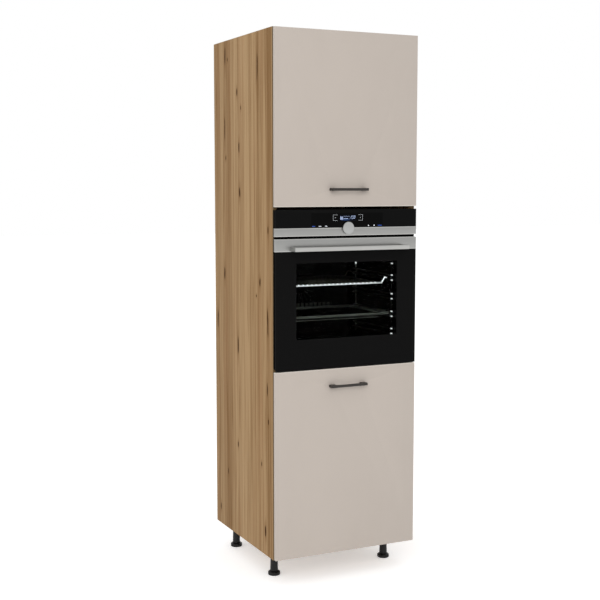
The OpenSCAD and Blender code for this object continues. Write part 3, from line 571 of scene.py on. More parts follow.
def door_glass():
    """Oven door glass: printed black all round, with a clear dark window."""
    sizes = bpy.context.scene.housing_sizes
    colours = bpy.context.scene.housing_colours

    def build(t, place):
        window = t.group(pane_field(), ("Vector", place),
                         ("Middle", (0.0, 0.0, sizes.window_middle)),
                         ("Half", (sizes.window_width / 2, 1.0, sizes.window_height / 2)))
        use = t.wear(place)
        return {"Base Color": t.mix(window["Inside"], colours.glass_black, grey(3)),
                "Alpha": t.between(window["Inside"], 1.0, 0.07),
                "Roughness": t.between(use, 0.04, 0.1)}
    return finish("door_glass", build, {"IOR": GLASS_IOR})


def inner_glass():
    """Clear inner panes with a faint cool tint, coated so that they hardly reflect."""
    def build(t, place):
        use = t.wear(place)
        return {"Roughness": t.between(use, 0.0, 0.015),
                "Base Color": t.mix(use, paint(246, 249, 249), paint(238, 242, 242))}
    return finish("inner_glass", build, {"Transmission Weight": 1.0, "IOR": CLEAR_PANE_IOR})


def woven_seal():
    """Braided heat seal."""
    def build(t, place):
        ways = [t.add("ShaderNodeTexWave", ("Vector", t.vector("ADD", place, offset)),
                      ("Scale", 190.0), ("Distortion", 0.6), bands_direction="DIAGONAL").outputs[1]
                for offset in ((0.0, 0.0, 0.0), (0.0009, 0.0, 0.0004))]
        weave = t.math("MULTIPLY", ways[0], ways[1])
        return {"Base Color": t.mix(weave, paint(20, 20, 21), paint(48, 48, 50)),
                "Roughness": t.between(weave, 0.9, 0.7),
                "Normal": t.bump(weave, 0.3 * MM)}
    return finish("woven_seal", build, {"Specular IOR Level": 0.2})


def heat_dark_steel():
    """Heater tube, blued and browned by heat."""
    def build(t, place):
        burn = t.noise(place, 34.0, 3.0, 0.6)
        fine = t.grain(place, 1.2)
        return {"Base Color": t.mix(t.fade(burn, 0.35, 0.7), paint(42, 38, 36), paint(52, 51, 57)),
                "Roughness": t.between(fine["Tone"], 0.42, 0.6),
                "Normal": t.bump(fine["Height"], 0.02 * MM)}
    return finish("heat_dark_steel", build, {"Metallic": 1.0})


def turned_metal():
    """Satin metal, turned: rings round the knob's own axis."""
    middle = middle_of("control_knob")

    def build(t, place):
        off = t.vector("SUBTRACT", place, tuple(middle))
        radius = t.distance(t.stretched(off, 1.0, 0.0, 1.0))
        rings = t.noise(t.joined(t.math("MULTIPLY", radius, 2600.0), 0.0, 0.0), 1.0, 3.0, 0.7)
        return {"Base Color": t.mix(rings, paint(162, 163, 162), paint(178, 179, 178)),
                "Roughness": t.between(rings, 0.42, 0.3),
                "Normal": t.bump(rings, 0.01 * MM)}
    return finish("turned_metal", build, {"Metallic": 1.0})


def display_panel():
    """Dark display that glows faintly blue, most at its lower left."""
    glow_at = middle_of("display") + Vector((-10 * MM, 0.0, -6 * MM))

    def build(t, place):
        off = t.vector("SUBTRACT", place, tuple(glow_at))
        glow = t.fade(t.distance(t.stretched(off, 40.0, 0.0, 130.0)), 1.1, 0.1)
        dots = t.noise(place, 900.0, 1.0, 0.5)
        return {"Base Color": t.mix(glow, paint(5, 6, 10), paint(12, 26, 54)),
                "Emission Color": t.mix(glow, (0.0, 0.001, 0.004, 1.0), paint(17, 40, 74)),
                "Roughness": t.between(dots, 0.2, 0.28)}
    return finish("display_panel", build, {"Emission Strength": 1.0, "Specular IOR Level": 0.06})


def lit_mark(name, swatch, strength):
    """Printed sign that a lamp shines through, slightly uneven as such signs are."""
    def build(t, place):
        tone = t.mix(t.noise(place, 600.0, 2.0, 0.5), dimmed(swatch, 0.7), swatch)
        return {"Emission Color": tone, "Base Color": tone}
    return finish(name, build, {"Emission Strength": strength, "Roughness": 0.5})


def frosted_lamp():
    """Frosted lamp glass, lit from inside."""
    def build(t, place):
        frost = t.grain(place, 1.5)
        return {"Base Color": t.mix(frost["Tone"], paint(226, 222, 206), paint(246, 244, 236)),
                "Roughness": t.between(frost["Tone"], 0.35, 0.55),
                "Emission Color": t.mix(frost["Tone"], paint(255, 236, 200), paint(255, 246, 226)),
                "Normal": t.bump(frost["Height"], 0.08 * MM)}
    return finish("frosted_lamp", build, {"Emission Strength": 3.0})


def hardboard():
    """Thin fibre board, pale and slightly mottled."""
    def build(t, place):
        fibres = t.noise(t.stretched(place, 240.0, 240.0, 120.0), 1.0, 4.0, 0.7)
        mottle = t.noise(place, 9.0, 3.0, 0.6)
        tone = t.total((fibres, 0.6), (mottle, 0.4))
        return {"Base Color": t.mix(tone, paint(184, 168, 146), paint(212, 200, 182)),
                "Roughness": t.between(fibres, 0.62, 0.8),
                "Normal": t.bump(fibres, 0.05 * MM)}
    return finish("hardboard_back", build, {"Specular IOR Level": 0.25})


# ------------------------------------------------------------------ making pieces

def only(piece):
    """Deselects everything else, so that the next operator acts on this piece alone."""
    if bpy.context.mode != "OBJECT":
        bpy.ops.object.mode_set(mode="OBJECT")
    bpy.ops.object.select_all(action="DESELECT")
    piece.select_set(True)
    bpy.context.view_layer.objects.active = piece
    return piece


def started(name):
    """Names the primitive that was just added and selects nothing else."""
    piece = bpy.context.active_object
    piece.name = name
    return only(piece)


def edit(*steps):
    """Runs edit-mode steps on the whole of the active piece."""
    bpy.ops.object.mode_set(mode="EDIT")
    bpy.ops.mesh.select_all(action="SELECT")
    for step in steps:
        step()
    bpy.ops.object.mode_set(mode="OBJECT")


def placed(piece, point, facing=UPWARDS):
    """Takes a piece to a point, with its Z turned to the way given, in its mesh."""
    only(piece)
    piece.location = point
    piece.rotation_euler = Vector(UPWARDS).rotation_difference(Vector(facing)).to_euler()
    bpy.ops.object.transform_apply(location=True, rotation=True, scale=True)
    return piece


def joined(pieces, name):
    """Makes one piece of several that are apart."""
    only(pieces[0])
    for piece in pieces:
        piece.select_set(True)
    bpy.ops.object.join()
    pieces[0].name = name
    return pieces[0]


def copied(model, name, places):
    """Copies of one modelled piece at each (point, way that its Z faces), as one group."""
    copies = []
    for point, facing in places:
        only(model)
        bpy.ops.object.duplicate()
        copies.append(placed(bpy.context.active_object, point, facing))
    return joined(copies, name)


def removed(piece):
    bpy.data.objects.remove(piece)


def soften(piece, width, segments=2):
    """Rounds the edges of a piece and shades it smooth between its creases."""
    crease = math.radians(32)
    only(piece)
    if width > 0:
        soft = piece.modifiers.new("soft_edges", "BEVEL")
        soft.width = width
        soft.segments = segments
        soft.limit_method = "ANGLE"
        soft.angle_limit = crease
        soft.use_clamp_overlap = True
        bpy.ops.object.modifier_apply(modifier=soft.name)
    bpy.ops.object.shade_smooth_by_angle(angle=crease)
    return piece


def seated(piece, body, slot, material, *stands_for):
    """Gives a finished piece its material and its body. The slot is not used."""
    piece.data.materials.clear()
    piece.data.materials.append(material)
    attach(piece, body)
    if stands_for:
        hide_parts(*stands_for)
    return piece


def fastened(model, name, body, places):
    """Zinc-plated copies of a screw or cam face on one body."""
    return seated(copied(model, name, places), body, "zinc_steel", zinc())


def slot_of(node):
    """The record's material slot of a CAD node."""
    return next(row["material_slot"] for row in frame["record"]["subparts"]
                if row["node"] == node)


def dressed(node, material, width, segments=2):
    """A copy of a CAD node with its faces joined and its edges softened, in its stead."""
    source = frame["nodes"][node]
    piece = bpy.data.objects.new(node + "_finished", source.data.copy())
    bpy.context.scene.collection.objects.link(piece)
    only(piece)
    bpy.ops.mesh.customdata_custom_splitnormals_clear()
    edit(lambda: bpy.ops.mesh.remove_doubles(threshold=0.004 * MM),
         lambda: bpy.ops.mesh.dissolve_limited(angle_limit=math.radians(0.4)))
    soften(piece, width, segments)
    return seated(piece, source["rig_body"], slot_of(node), material, node)


def painted(material, *nodes):
    """Gives CAD nodes whose shape is right their material."""
    for node in nodes:
        for place in frame["nodes"][node].material_slots:
            place.material = material


def turned(name, outline, steps=32):
    """A body of revolution about Z: its half outline is extruded point by point, then spun."""
    bpy.ops.mesh.primitive_plane_add(size=1 * MM)
    piece = started(name)
    bpy.ops.object.mode_set(mode="EDIT")
    bpy.ops.mesh.select_all(action="SELECT")
    bpy.ops.mesh.merge(type="CENTER")
    bpy.ops.transform.translate(value=(outline[0][0] * MM, 0.0, outline[0][1] * MM))
    for (radius, height), (next_radius, next_height) in zip(outline, outline[1:]):
        step = ((next_radius - radius) * MM, 0.0, (next_height - height) * MM)
        bpy.ops.mesh.extrude_vertices_move(TRANSFORM_OT_translate={"value": step})
    bpy.ops.mesh.select_all(action="SELECT")
    bpy.ops.mesh.spin(steps=steps, angle=math.tau, center=(0.0, 0.0, 0.0), axis=UPWARDS)
    bpy.ops.mesh.select_all(action="SELECT")
    bpy.ops.mesh.remove_doubles(threshold=0.002 * MM)
    bpy.ops.mesh.normals_make_consistent(inside=False)
    bpy.ops.object.mode_set(mode="OBJECT")
    return soften(piece, 0.0)


def cross_bit(span, depth):
    """The plus-shaped tip of a screwdriver, for cutting a recess."""
    bars = []
    for size in ((span, span / 5), (span / 5, span)):
        bpy.ops.mesh.primitive_cube_add(size=1.0)
        bar = started("cross_bar")
        bar.scale = (size[0], size[1], 2 * depth)
        bpy.ops.object.transform_apply(location=False, rotation=False, scale=True)
        bars.append(bar)
    return joined(bars, "cross_bit")


def cut(piece, tool):
    """Cuts one piece out of another and removes the tool."""
    only(piece)
    hole = piece.modifiers.new("cut", "BOOLEAN")
    hole.operation = "DIFFERENCE"
    hole.solver = "EXACT"
    hole.use_self = True
    hole.object = tool
    bpy.ops.object.modifier_apply(modifier=hole.name)
    removed(tool)
    return piece


def pan_screw(radius):
    """A pan head screw with a cross recess, standing on z = 0."""
    r = radius / MM
    outline = ((0.0, -0.5), (0.45 * r, -0.5), (0.45 * r, 0.0), (r, 0.0), (r, 0.12 * r),
               (0.93 * r, 0.24 * r), (0.72 * r, 0.34 * r), (0.4 * r, 0.39 * r), (0.0, 0.4 * r))
    screw = turned("pan_screw", outline, 20)
    bit = placed(cross_bit(1.1 * radius, 0.12 * radius), (0.0, 0.0, 0.4 * radius))
    return soften(cut(screw, bit), 0.0)


def cam_disc(radius):
    """The slotted face of a cam, standing on z = 0."""
    r = radius / MM
    disc = turned("cam_disc", ((0, -0.3), (r, -0.3), (r, 0.25), (r - 0.4, 0.42), (0, 0.42)), 28)
    bit = placed(cross_bit(1.3 * radius, 0.3 * MM), (0.0, 0.0, 0.42 * MM))
    return soften(cut(disc, bit), 0.0)


def plate(name, x, z, width, height, face, thick=0.06):
    """A thin printed plate on an upright face, with its corners rounded."""
    bpy.ops.mesh.primitive_plane_add(size=1.0, rotation=(math.pi / 2, 0.0, 0.0))
    piece = started(name)
    piece.scale = (width * MM, height * MM, 1.0)
    bpy.ops.object.transform_apply(location=False, rotation=True, scale=True)
    edit(lambda: bpy.ops.mesh.bevel(offset=0.3 * min(width, height) * MM, segments=3,
                                    affect="VERTICES"),
         lambda: bpy.ops.mesh.extrude_region_move(
             TRANSFORM_OT_translate={"value": (0.0, -thick * MM, 0.0)}),
         lambda: bpy.ops.mesh.select_all(action="SELECT"),
         lambda: bpy.ops.mesh.normals_make_consistent(inside=False))
    return placed(piece, (x * MM, face, z * MM))


def plates(name, places, face):
    """Several printed plates as one piece. Places are x, z, width and height."""
    return joined([plate(name, *place, face) for place in places], name)


# ------------------------------------------------------------------ operators

# Each lamp's name, the way to it, its strength and its spread in degrees.
LAMPS = (("key_lamp", (-0.36, -0.84, 0.40), 0.86, 38),
         ("side_lamp", (-0.90, -0.25, 0.36), 0.42, 60))
# Strengths of the floor's own light and of the backdrop: for other rays, then as seen.
FLOOR_LIFT, BACKDROP = (0.08, 0.4), (0.74, 1.0)
# The camera: where it stands in metres, its turn in degrees, its lens and sensor.
CAMERA_SPOT = (-1.9688, at_depth(-3727.8), 1.497)
CAMERA_DOWN, CAMERA_TURN = 5.774, -25.523
CAMERA_LENS, CAMERA_SENSOR = 67.08, 36.0


class HOUSING_OT_stage(bpy.types.Operator):
    """Floor, backdrop, soft lamps and the camera"""
    bl_idname = "housing.stage"
    bl_label = "Stage"
    bl_options = {"REGISTER", "UNDO"}

    def execute(self, context):
        context.scene.view_settings.view_transform = "Standard"
        bpy.ops.mesh.primitive_plane_add(size=60.0)
        floor = started("floor")
        floor.data.materials.append(self.floor_paint())
        self.backdrop(context.scene)
        for name, way, strength, spread in LAMPS:
            self.lamp(name, way, strength, spread)
        self.camera(context.scene)
        return {"FINISHED"}

    def seen(self, tree):
        """1 for the rays that show a thing to the camera, directly, in gloss or through glass."""
        rays = tree.add("ShaderNodeLightPath").outputs
        seen = tree.math("MAXIMUM", rays["Is Camera Ray"], rays["Is Glossy Ray"])
        return tree.math("MAXIMUM", seen, rays["Is Transmission Ray"])

    def floor_paint(self):
        """Pale floor, lifted to white where it is seen, but for the soft shadow."""
        made = bpy.data.materials.new("floor_paint")
        made.use_nodes = True
        tree = Tree(made.node_tree)
        shader = made.node_tree.nodes["Principled BSDF"]
        shader.inputs["Base Color"].default_value = (0.93, 0.93, 0.93, 1.0)
        shader.inputs["Roughness"].default_value = 0.9
        shader.inputs["Specular IOR Level"].default_value = 0.0
        shader.inputs["Emission Color"].default_value = WHITE
        lift = tree.between(self.seen(tree), *FLOOR_LIFT)
        made.node_tree.links.new(lift, shader.inputs["Emission Strength"])
        return made

    def backdrop(self, scene):
        world = bpy.data.worlds.new("white_room")
        scene.world = world
        world.use_nodes = True
        tree = Tree(world.node_tree)
        sky = world.node_tree.nodes["Background"]
        sky.inputs["Color"].default_value = WHITE
        strength = tree.between(self.seen(tree), *BACKDROP)
        world.node_tree.links.new(strength, sky.inputs["Strength"])

    def lamp(self, name, way, strength, spread):
        bpy.ops.object.light_add(type="SUN")
        lamp = started(name)
        lamp.data.energy = strength
        lamp.data.angle = math.radians(spread)
        lamp.rotation_euler = (-Vector(way)).to_track_quat("-Z", "Y").to_euler()
        lamp.visible_glossy = False
        lamp.visible_camera = False

    def camera(self, scene):
        bpy.ops.object.camera_add(
            location=CAMERA_SPOT,
            rotation=(math.radians(90 - CAMERA_DOWN), 0.0, math.radians(CAMERA_TURN)))
        camera = started("camera")
        camera.data.sensor_width = CAMERA_SENSOR
        camera.data.lens = CAMERA_LENS
        camera.data.clip_start, camera.data.clip_end = 0.05, 100.0
        scene.camera = camera


class HOUSING_OT_boards(bpy.types.Operator):
    """Oak-faced carcass boards and the hardboard backs"""
    bl_idname = "housing.boards"
    bl_label = "Carcass boards"
    bl_options = {"REGISTER", "UNDO"}

    def execute(self, context):
        edge = context.scene.housing_sizes.board_edge
        left = oak("oak_left", "Z", cracks=OAK_CRACKS)
        # The right side has the left one's cracks, upside down.
        turned_about = sum(corner.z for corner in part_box("side_right")) / MM
        flipped = tuple((depth, turned_about - height, *halves)
                        for depth, height, *halves in OAK_CRACKS)
        right = oak("oak_right", "Z", (0.0, 0.7, 0.0), flipped)
        level = oak("oak_level", "X", (0.0, 0.0, 3.1))
        dressed("side_left", left, edge)
        dressed("side_right", right, edge)
        for node in ("bottom_panel", "oven_shelf", "upper_deck", "top_panel", "rear_rail",
                     "inner_shelf"):
            dressed(node, level, edge)
        for node in ("back_lower", "back_upper"):
            dressed(node, hardboard(), 0.3 * MM)
        return {"FINISHED"}


class HOUSING_OT_fronts(bpy.types.Operator):
    """The two lacquered fronts, their soft bumpers and the screws of their handles"""
    bl_idname = "housing.fronts"
    bl_label = "Fronts"
    bl_options = {"REGISTER", "UNDO"}

    def execute(self, context):
        sizes = context.scene.housing_sizes
        rubber = grained("clear_bumper", paint(206, 206, 202), paint(222, 222, 220), 2.0,
                         (0.3, 0.45), 0.01, {"Alpha": 0.75})
        bumper = turned("bumper", ((0, 0), (4.2, 0), (4.8, 0.7), (4.4, 1.7), (3.0, 2.3),
                                   (0, 2.5)), 24)
        screw = pan_screw(sizes.screw_head)
        above_low, below_high = 26 * MM, 22 * MM
        flap_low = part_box("upper_front")[0].z
        pull_low, pull_high = (corner.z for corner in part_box("lower_front"))
        # Each front's body and handle, its edge that catches light, and its rows of bumpers.
        fronts = (
            ("upper_front", "flap", "upper_handle", flap_low, [flap_low + above_low]),
            ("lower_front", "drawer", "lower_handle", pull_high,
             [pull_low + above_low, pull_high - below_high]))
        for node, body, handle, bright_edge, rows in fronts:
            dressed(node, beige_front(node, bright_edge), sizes.front_edge, 3)
            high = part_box(node)[1]
            self.bumpers(bumper, body, high, rows, rubber)
            self.handle_screws(screw, body, handle, high.y)
        removed(bumper)
        removed(screw)
        return {"FINISHED"}

    def bumpers(self, bumper, body, high, rows, rubber):
        """A bumper near each side edge of a front's back, at each of the heights."""
        from_middle = high.x - 9 * MM
        dots = [((side * from_middle, high.y, row), INWARDS) for side in SIDES for row in rows]
        seated(copied(bumper, body + "_bumpers", dots), body, "seal_rubber", rubber)

    def handle_screws(self, screw, body, handle, face):
        from_middle = 64 * MM
        heads = [((side * from_middle, face, middle_of(handle).z), INWARDS) for side in SIDES]
        fastened(screw, handle + "_screws", body, heads)


class HOUSING_OT_handles(bpy.types.Operator):
    """The two black bow handles"""
    bl_idname = "housing.handles"
    bl_label = "Bow handles"
    bl_options = {"REGISTER", "UNDO"}

    def execute(self, context):
        coat = grained("handle_coat", context.scene.housing_colours.handle_black,
                       paint(56, 51, 47), 0.7, (0.42, 0.52), 0.02)
        for node in ("upper_handle", "lower_handle"):
            dressed(node, coat, context.scene.housing_sizes.handle_edge, 3)
        return {"FINISHED"}


class HOUSING_OT_legs(bpy.types.Operator):
    """Adjustable legs with their plates and screws"""
    bl_idname = "housing.legs"
    bl_label = "Legs"
    bl_options = {"REGISTER", "UNDO"}

    def execute(self, context):
        sizes = context.scene.housing_sizes
        moulded = grained("moulded_black", context.scene.housing_colours.plastic_black,
                          grey(17), 0.8, (0.4, 0.52), 0.03)
        for node in (*FEET, "leg_sockets"):
            dressed(node, moulded, sizes.moulded_edge)
        screw = pan_screw(sizes.screw_head)
        plate_thick, circle, first_turn = 5 * MM, 23 * MM, 22.5
        plate_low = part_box("leg_sockets")[1].z - plate_thick
        places = []
        for node in FEET:
            middle = middle_of(node)
            for quarter in range(4):
                turn = math.radians(first_turn + 90 * quarter)
                places.append(((middle.x + circle * math.cos(turn),
                                middle.y + circle * math.sin(turn), plate_low), DOWNWARDS))
        fastened(screw, "leg_screws", "carcass", places)
        removed(screw)
        return {"FINISHED"}


class HOUSING_OT_flap_fittings(bpy.types.Operator):
    """Cup hinges, gas struts, their brackets and screws"""
    bl_idname = "housing.flap_fittings"
    bl_label = "Flap fittings"
    bl_options = {"REGISTER", "UNDO"}

    def execute(self, context):
        for node in ("flap_hinge_cups", "flap_hinge_arms", "strut_wall_brackets",
                     "strut_door_brackets"):
            dressed(node, zinc(), 0.25 * MM)
        tube = grained("strut_tube", paint(32, 32, 34), paint(42, 42, 44), 1.0, (0.3, 0.42), 0.01)
        rod = brushed("strut_rod", paint(190, 190, 192), (900.0, 40.0, 40.0), (0.12, 0.2), 0.005)
        for side in ("left", "right"):
            dressed("strut_cylinder_" + side, tube, 0.5 * MM)
            dressed("strut_rod_" + side, rod, 0.2 * MM)
        self.screws(context.scene.housing_sizes.screw_head)
        return {"FINISHED"}

    def screws(self, head):
        """Two screws in each hinge cup, hinge arm plate and strut bracket."""
        screw = pan_screw(head)
        cups, arms, walls, doors = (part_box(node)[1] for node in (
            "flap_hinge_cups", "flap_hinge_arms", "strut_wall_brackets", "strut_door_brackets"))
        cup, wall, door = (middle_of(node) for node in (
            "flap_hinge_cups", "strut_wall_brackets", "strut_door_brackets"))
        sheet, arm_plate, half_bracket = 2 * MM, 3 * MM, 16 * MM
        door_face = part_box("strut_door_brackets")[0].y + sheet
        arm_y = at_depth(39)
        on_flap, on_carcass = [], []
        for side in SIDES:
            for end in SIDES:
                cup_x = cups.x - 30 * MM + end * 24 * MM
                arm_x = arms.x - 26 * MM + end * 20 * MM
                along = end * half_bracket
                on_flap.append(((side * cup_x, cups.y, cup.z - 5 * MM), INWARDS))
                on_flap.append(((side * (doors.x - 12 * MM), door_face, door.z + along), INWARDS))
                on_carcass.append(((side * arm_x, arm_y, arms.z - arm_plate), DOWNWARDS))
                on_carcass.append(((side * (walls.x - sheet), wall.y, wall.z + along),
                                   (-side, 0.0, 0.0)))
        fastened(screw, "flap_screws", "flap", on_flap)
        fastened(screw, "hinge_arm_screws", "carcass", on_carcass)
        removed(screw)


class HOUSING_OT_fittings(bpy.types.Operator):
    """Shelf pins, cams and runners"""
    bl_idname = "housing.fittings"
    bl_label = "Pins, cams and runners"
    bl_options = {"REGISTER", "UNDO"}

    def execute(self, context):
        painted(zinc(), "shelf_pins", "cam_fittings")
        for node in ("cabinet_rails", "drawer_rails", "runner_mid_left", "runner_mid_right"):
            dressed(node, zinc(), 0.25 * MM)
        self.cams(context.scene.housing_sizes.cam_face)
        return {"FINISHED"}

    def cams(self, radius):
        """Slotted faces on the cams, just inside the pockets of the fixed boards."""
        disc = cam_disc(radius)
        sunk, from_middle, depths = 0.5 * MM, 250 * MM, (40, 527)
        places = []
        for board in ("bottom_panel", "oven_shelf", "upper_deck", "top_panel"):
            low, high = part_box(board)
            up = board == "top_panel"
            height = high.z - sunk if up else low.z + sunk
            for side in SIDES:
                for depth in depths:
                    places.append(((side * from_middle, at_depth(depth), height),
                                   UPWARDS if up else DOWNWARDS))
        fastened(disc, "cam_faces", "carcass", places)
        removed(disc)


class HOUSING_OT_pull_out(bpy.types.Operator):
    """Box of the pull-out"""
    bl_idname = "housing.pull_out"
    bl_label = "Pull-out box"
    bl_options = {"REGISTER", "UNDO"}

    def execute(self, context):
        laminate = grained("drawer_laminate", paint(218, 218, 215), paint(226, 226, 224), 0.9,
                           (0.4, 0.5), 0.02)
        for node in ("drawer_sides", "drawer_back", "drawer_bottom"):
            dressed(node, laminate, context.scene.housing_sizes.board_edge)
        return {"FINISHED"}


class HOUSING_OT_oven_body(bpy.types.Operator):
    """Casing, cavity, seals, heaters, fan, lamp and fixing screws of the oven"""
    bl_idname = "housing.oven_body"
    bl_label = "Oven body"
    bl_options = {"REGISTER", "UNDO"}

    def execute(self, context):
        dark = context.scene.housing_colours.enamel
        dressed("oven_casing", zinc(), 0.2 * MM)
        dressed("door_hinge_arms", zinc(), 0.4 * MM)
        dressed("oven_cavity", enamel("cavity_enamel", dark, 0.1), 0.2 * MM)
        dressed("oven_front_frame", enamel("frame_enamel", dark, 0.2, (0.2, 0.3)), 0.2 * MM)
        # The bars between the guard's lower slots get a painted highlight. The row is this far up
        # the guard.
        row_height = 107.5
        slots_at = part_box("fan_cover")[0].z / MM + row_height
        dressed("fan_cover", enamel("guard_enamel", dark, 0.05, (0.3, 0.4), (slots_at, 137, 11),
                                    paint(80, 80, 76)), 0.2 * MM)
        dressed("door_gasket", woven_seal(), 0.8 * MM, 3)
        painted(heat_dark_steel(), "ring_heater", "grill_element")
        dressed("convection_fan", brushed("fan_metal", paint(44, 43, 42), (60.0, 60.0, 900.0),
                                          (0.4, 0.55)), 0.15 * MM)
        dressed("fan_motor", grained("cast_metal", paint(150, 150, 152), paint(170, 170, 172),
                                     1.2, (0.42, 0.56), 0.05, {"Metallic": 1.0}), 0.5 * MM)
        dressed("oven_lamp", frosted_lamp(), 0.8 * MM, 3)
        self.screws(context.scene.housing_sizes.screw_head)
        return {"FINISHED"}

    def screws(self, head):
        """Four screws that hold the oven in the unit, and six in the casing's rear panel."""
        screw = pan_screw(head)
        cavity_low, cavity_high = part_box("oven_cavity")
        face, from_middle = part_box("oven_front_frame")[0].y, 291 * MM
        fixing = [((side * from_middle, face, z), OUTWARDS) for side in SIDES
                  for z in (cavity_low.z + 13.5 * MM, cavity_high.z + 36.5 * MM)]
        fastened(screw, "oven_fixing_screws", "carcass", fixing)
        low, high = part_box("oven_casing")
        rear_x, rear_y, margin = 262 * MM, at_depth(548), 16 * MM
        rear = [((side * rear_x, rear_y, z), INWARDS) for side in SIDES
                for z in (low.z + margin, (low.z + high.z) / 2, high.z - margin)]
        fastened(screw, "casing_screws", "carcass", rear)
        removed(screw)


class HOUSING_OT_oven_door(bpy.types.Operator):
    """Glass, steel band, frame and handle of the oven door"""
    bl_idname = "housing.oven_door"
    bl_label = "Oven door"
    bl_options = {"REGISTER", "UNDO"}

    def execute(self, context):
        sizes, colours = context.scene.housing_sizes, context.scene.housing_colours
        dressed("door_outer_glass", door_glass(), sizes.glass_edge, 3)
        dressed("door_inner_glass", inner_glass(), sizes.glass_edge)
        edges = [corner.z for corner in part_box("door_trim")]
        dressed("door_trim", stainless("trim_steel", colours.steel, edges), sizes.steel_edge, 3)
        frame_paint = grained("frame_paint", grey(8), grey(14), 0.8, (0.4, 0.5), 0.02,
                              {"IOR": DULL_IOR})
        dressed("door_frame", frame_paint, sizes.steel_edge)
        dressed("oven_handle", stainless("handle_steel", colours.bright_steel), 1.0 * MM, 3)
        return {"FINISHED"}


class HOUSING_OT_control_panel(bpy.types.Operator):
    """Fascia glass, steel strip, display, knob and the lit signs"""
    bl_idname = "housing.control_panel"
    bl_label = "Control panel"
    bl_options = {"REGISTER", "UNDO"}

    def execute(self, context):
        sizes, colours = context.scene.housing_sizes, context.scene.housing_colours
        dressed("control_fascia", printed_glass(), sizes.glass_edge, 3)
        edges = [corner.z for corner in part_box("control_strip")]
        dressed("control_strip", stainless("strip_steel", colours.steel, edges),
                sizes.steel_edge, 3)
        dressed("control_knob", turned_metal(), 0.35 * MM, 3)
        plastic = grained("housing_plastic", grey(8), grey(14), 0.9, (0.45, 0.55), 0.02,
                          {"IOR": DULL_IOR})
        dressed("control_housing", plastic, 0.3 * MM)
        painted(display_panel(), "display")
        self.signs(colours)
        return {"FINISHED"}

    def signs(self, colours):
        """Plain lit signs: two touch fields, a clock, bars and a row of dots and dashes."""
        white = lit_mark("white_sign", paint(225, 229, 236), 0.8)
        blue = lit_mark("blue_sign", paint(46, 84, 176), 0.9)
        dim = lit_mark("dim_sign", paint(190, 194, 198), 0.5)
        glow = lit_mark("clock_sign", colours.glow, 0.6)
        height, stroke = 1383, 0.7
        fields = []
        for side in SIDES:
            fields.append((side * 62, height, stroke, 21))
            for end in SIDES:
                fields.append((side * 53.3, height + end * 10.5, 17.4, stroke))
            fields.append((side * 53, height, 2.4, 2.4))
        row = [(-117, 1352, 11, 1.5), (-95, 1352, 1.2, 4), (-91, 1353.2, 5, 1.2),
               (-89, 1350.9, 5, 1.2), (88, 1352.5, 3.6, 3.6), (112, 1352.5, 4.2, 4.2)]
        dashes = [(-143, 1352, 13, 1.5), (137, 1352.5, 17, 1.5)]
        fascia, screen = (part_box(node)[0].y for node in ("control_fascia", "display"))
        for name, places, face, lit in (
                ("touch_fields", fields, fascia, dim), ("white_row", row, fascia, white),
                ("blue_row", dashes, fascia, blue), ("clock", self.clock(), screen, glow)):
            seated(plates(name, places, face), "carcass", "display_panel", lit)

    def clock(self):
        """A clock that stands at twelve, beside rules, dashes and a small bar chart."""
        # Which bars each digit shows, and where each bar lies in its digit's box.
        bars = {"0": "abcdef", "1": "bc", "2": "abdeg"}
        low, height, width, stroke = 1383.5, 6.4, 3.2, 0.8
        spots = {"a": (0.5, 1, True), "b": (1, 0.75, False), "c": (1, 0.25, False),
                 "d": (0.5, 0, True), "e": (0, 0.25, False), "f": (0, 0.75, False),
                 "g": (0.5, 0.5, True)}
        made = []
        for digit, left in zip("1200", (11.5, 16.3, 23.2, 28.0)):
            for bar in bars[digit]:
                across, up, level = spots[bar]
                size = (width - stroke, stroke) if level else (stroke, height / 2 - stroke)
                made.append((left + across * width, low + up * height, *size))
        made += [(21.4, 1385.2, 0.8, 0.8), (21.4, 1388.2, 0.8, 0.8)]
        for step in range(4):
            tall = 13 - 3 * (step % 2)
            made.append((-31 + 3 * step, 1375.5 + tall / 2, 1.2, tall))
        made += [(-6, 1388, 27, 0.5), (9.5, 1382, 0.5, 10), (18, 1379, 5, 1.1), (26, 1379, 7, 1.1)]
        made += [(-16, 1379, 5, 1.3), (-10.5, 1379, 3, 1.3), (-3.5, 1379, 8, 1.3)]
        return made


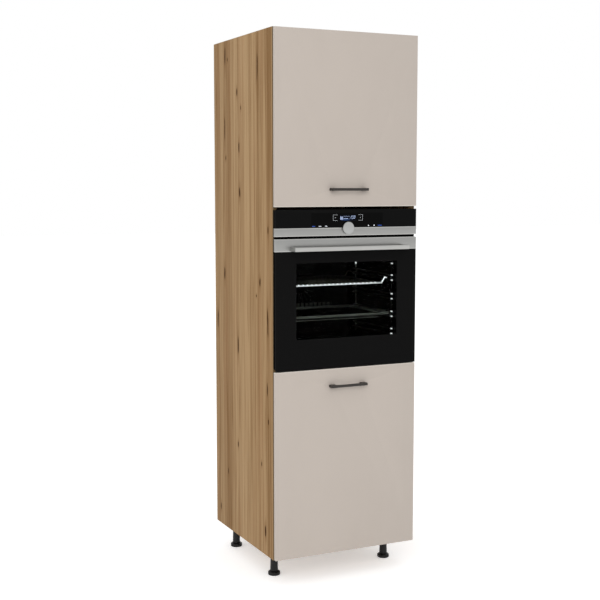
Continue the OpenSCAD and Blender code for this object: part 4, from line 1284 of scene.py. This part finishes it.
class HOUSING_OT_oven_furniture(bpy.types.Operator):
    """Side racks, wire shelf and tray"""
    bl_idname = "housing.oven_furniture"
    bl_label = "Racks, shelf and tray"
    bl_options = {"REGISTER", "UNDO"}

    def execute(self, context):
        # Painted highlights, with a glow, on the wire near the door and on the racks' rear posts.
        # Painted shade further in.
        painted(chrome("rack_wire", bright_to=50, shade_from=54, reach=300, crest=0, lift=0.9),
                "side_racks")
        painted(chrome("shelf_wire", bright_to=62, shade_from=68, reach=211, crest=1126.6,
                       lift=1.15), "wire_shelf")
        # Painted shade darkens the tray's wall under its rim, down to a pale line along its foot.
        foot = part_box("baking_tray")[0].z / MM
        dark_wall = enamel("tray_enamel", paint(90, 90, 84), 0.1, (0.3, 0.4),
                           (foot + 6.5, 500, 4.5), paint(16, 16, 14))
        dressed("baking_tray", dark_wall, 0.3 * MM)
        return {"FINISHED"}


class HOUSING_PT_panel(bpy.types.Panel):
    """Lists the unit's pieces and its settings"""
    bl_idname = "HOUSING_PT_panel"
    bl_label = "Housing unit"
    bl_space_type = "VIEW_3D"
    bl_region_type = "UI"
    bl_category = "Housing unit"

    def draw(self, context):
        for operator in OPERATORS:
            self.layout.operator(operator.bl_idname)
        for settings in (context.scene.housing_sizes, context.scene.housing_colours):
            box = self.layout.box()
            for name in settings.__annotations__:
                box.prop(settings, name)


OPERATORS = (
    HOUSING_OT_stage, HOUSING_OT_boards, HOUSING_OT_fronts, HOUSING_OT_handles,
    HOUSING_OT_legs, HOUSING_OT_flap_fittings, HOUSING_OT_fittings, HOUSING_OT_pull_out,
    HOUSING_OT_oven_body, HOUSING_OT_oven_door, HOUSING_OT_control_panel,
    HOUSING_OT_oven_furniture,
)
CLASSES = (HousingSizes, HousingColours, *OPERATORS, HOUSING_PT_panel)


def register():
    for item in CLASSES:
        bpy.utils.register_class(item)
    bpy.types.Scene.housing_sizes = bpy.props.PointerProperty(type=HousingSizes)
    bpy.types.Scene.housing_colours = bpy.props.PointerProperty(type=HousingColours)


def unregister():
    del bpy.types.Scene.housing_colours
    del bpy.types.Scene.housing_sizes
    for item in reversed(CLASSES):
        bpy.utils.unregister_class(item)


def main():
    register()
    for operator in OPERATORS:
        group, name = operator.bl_idname.split(".")
        getattr(getattr(bpy.ops, group), name)()


if __name__ == "__main__":
    main()
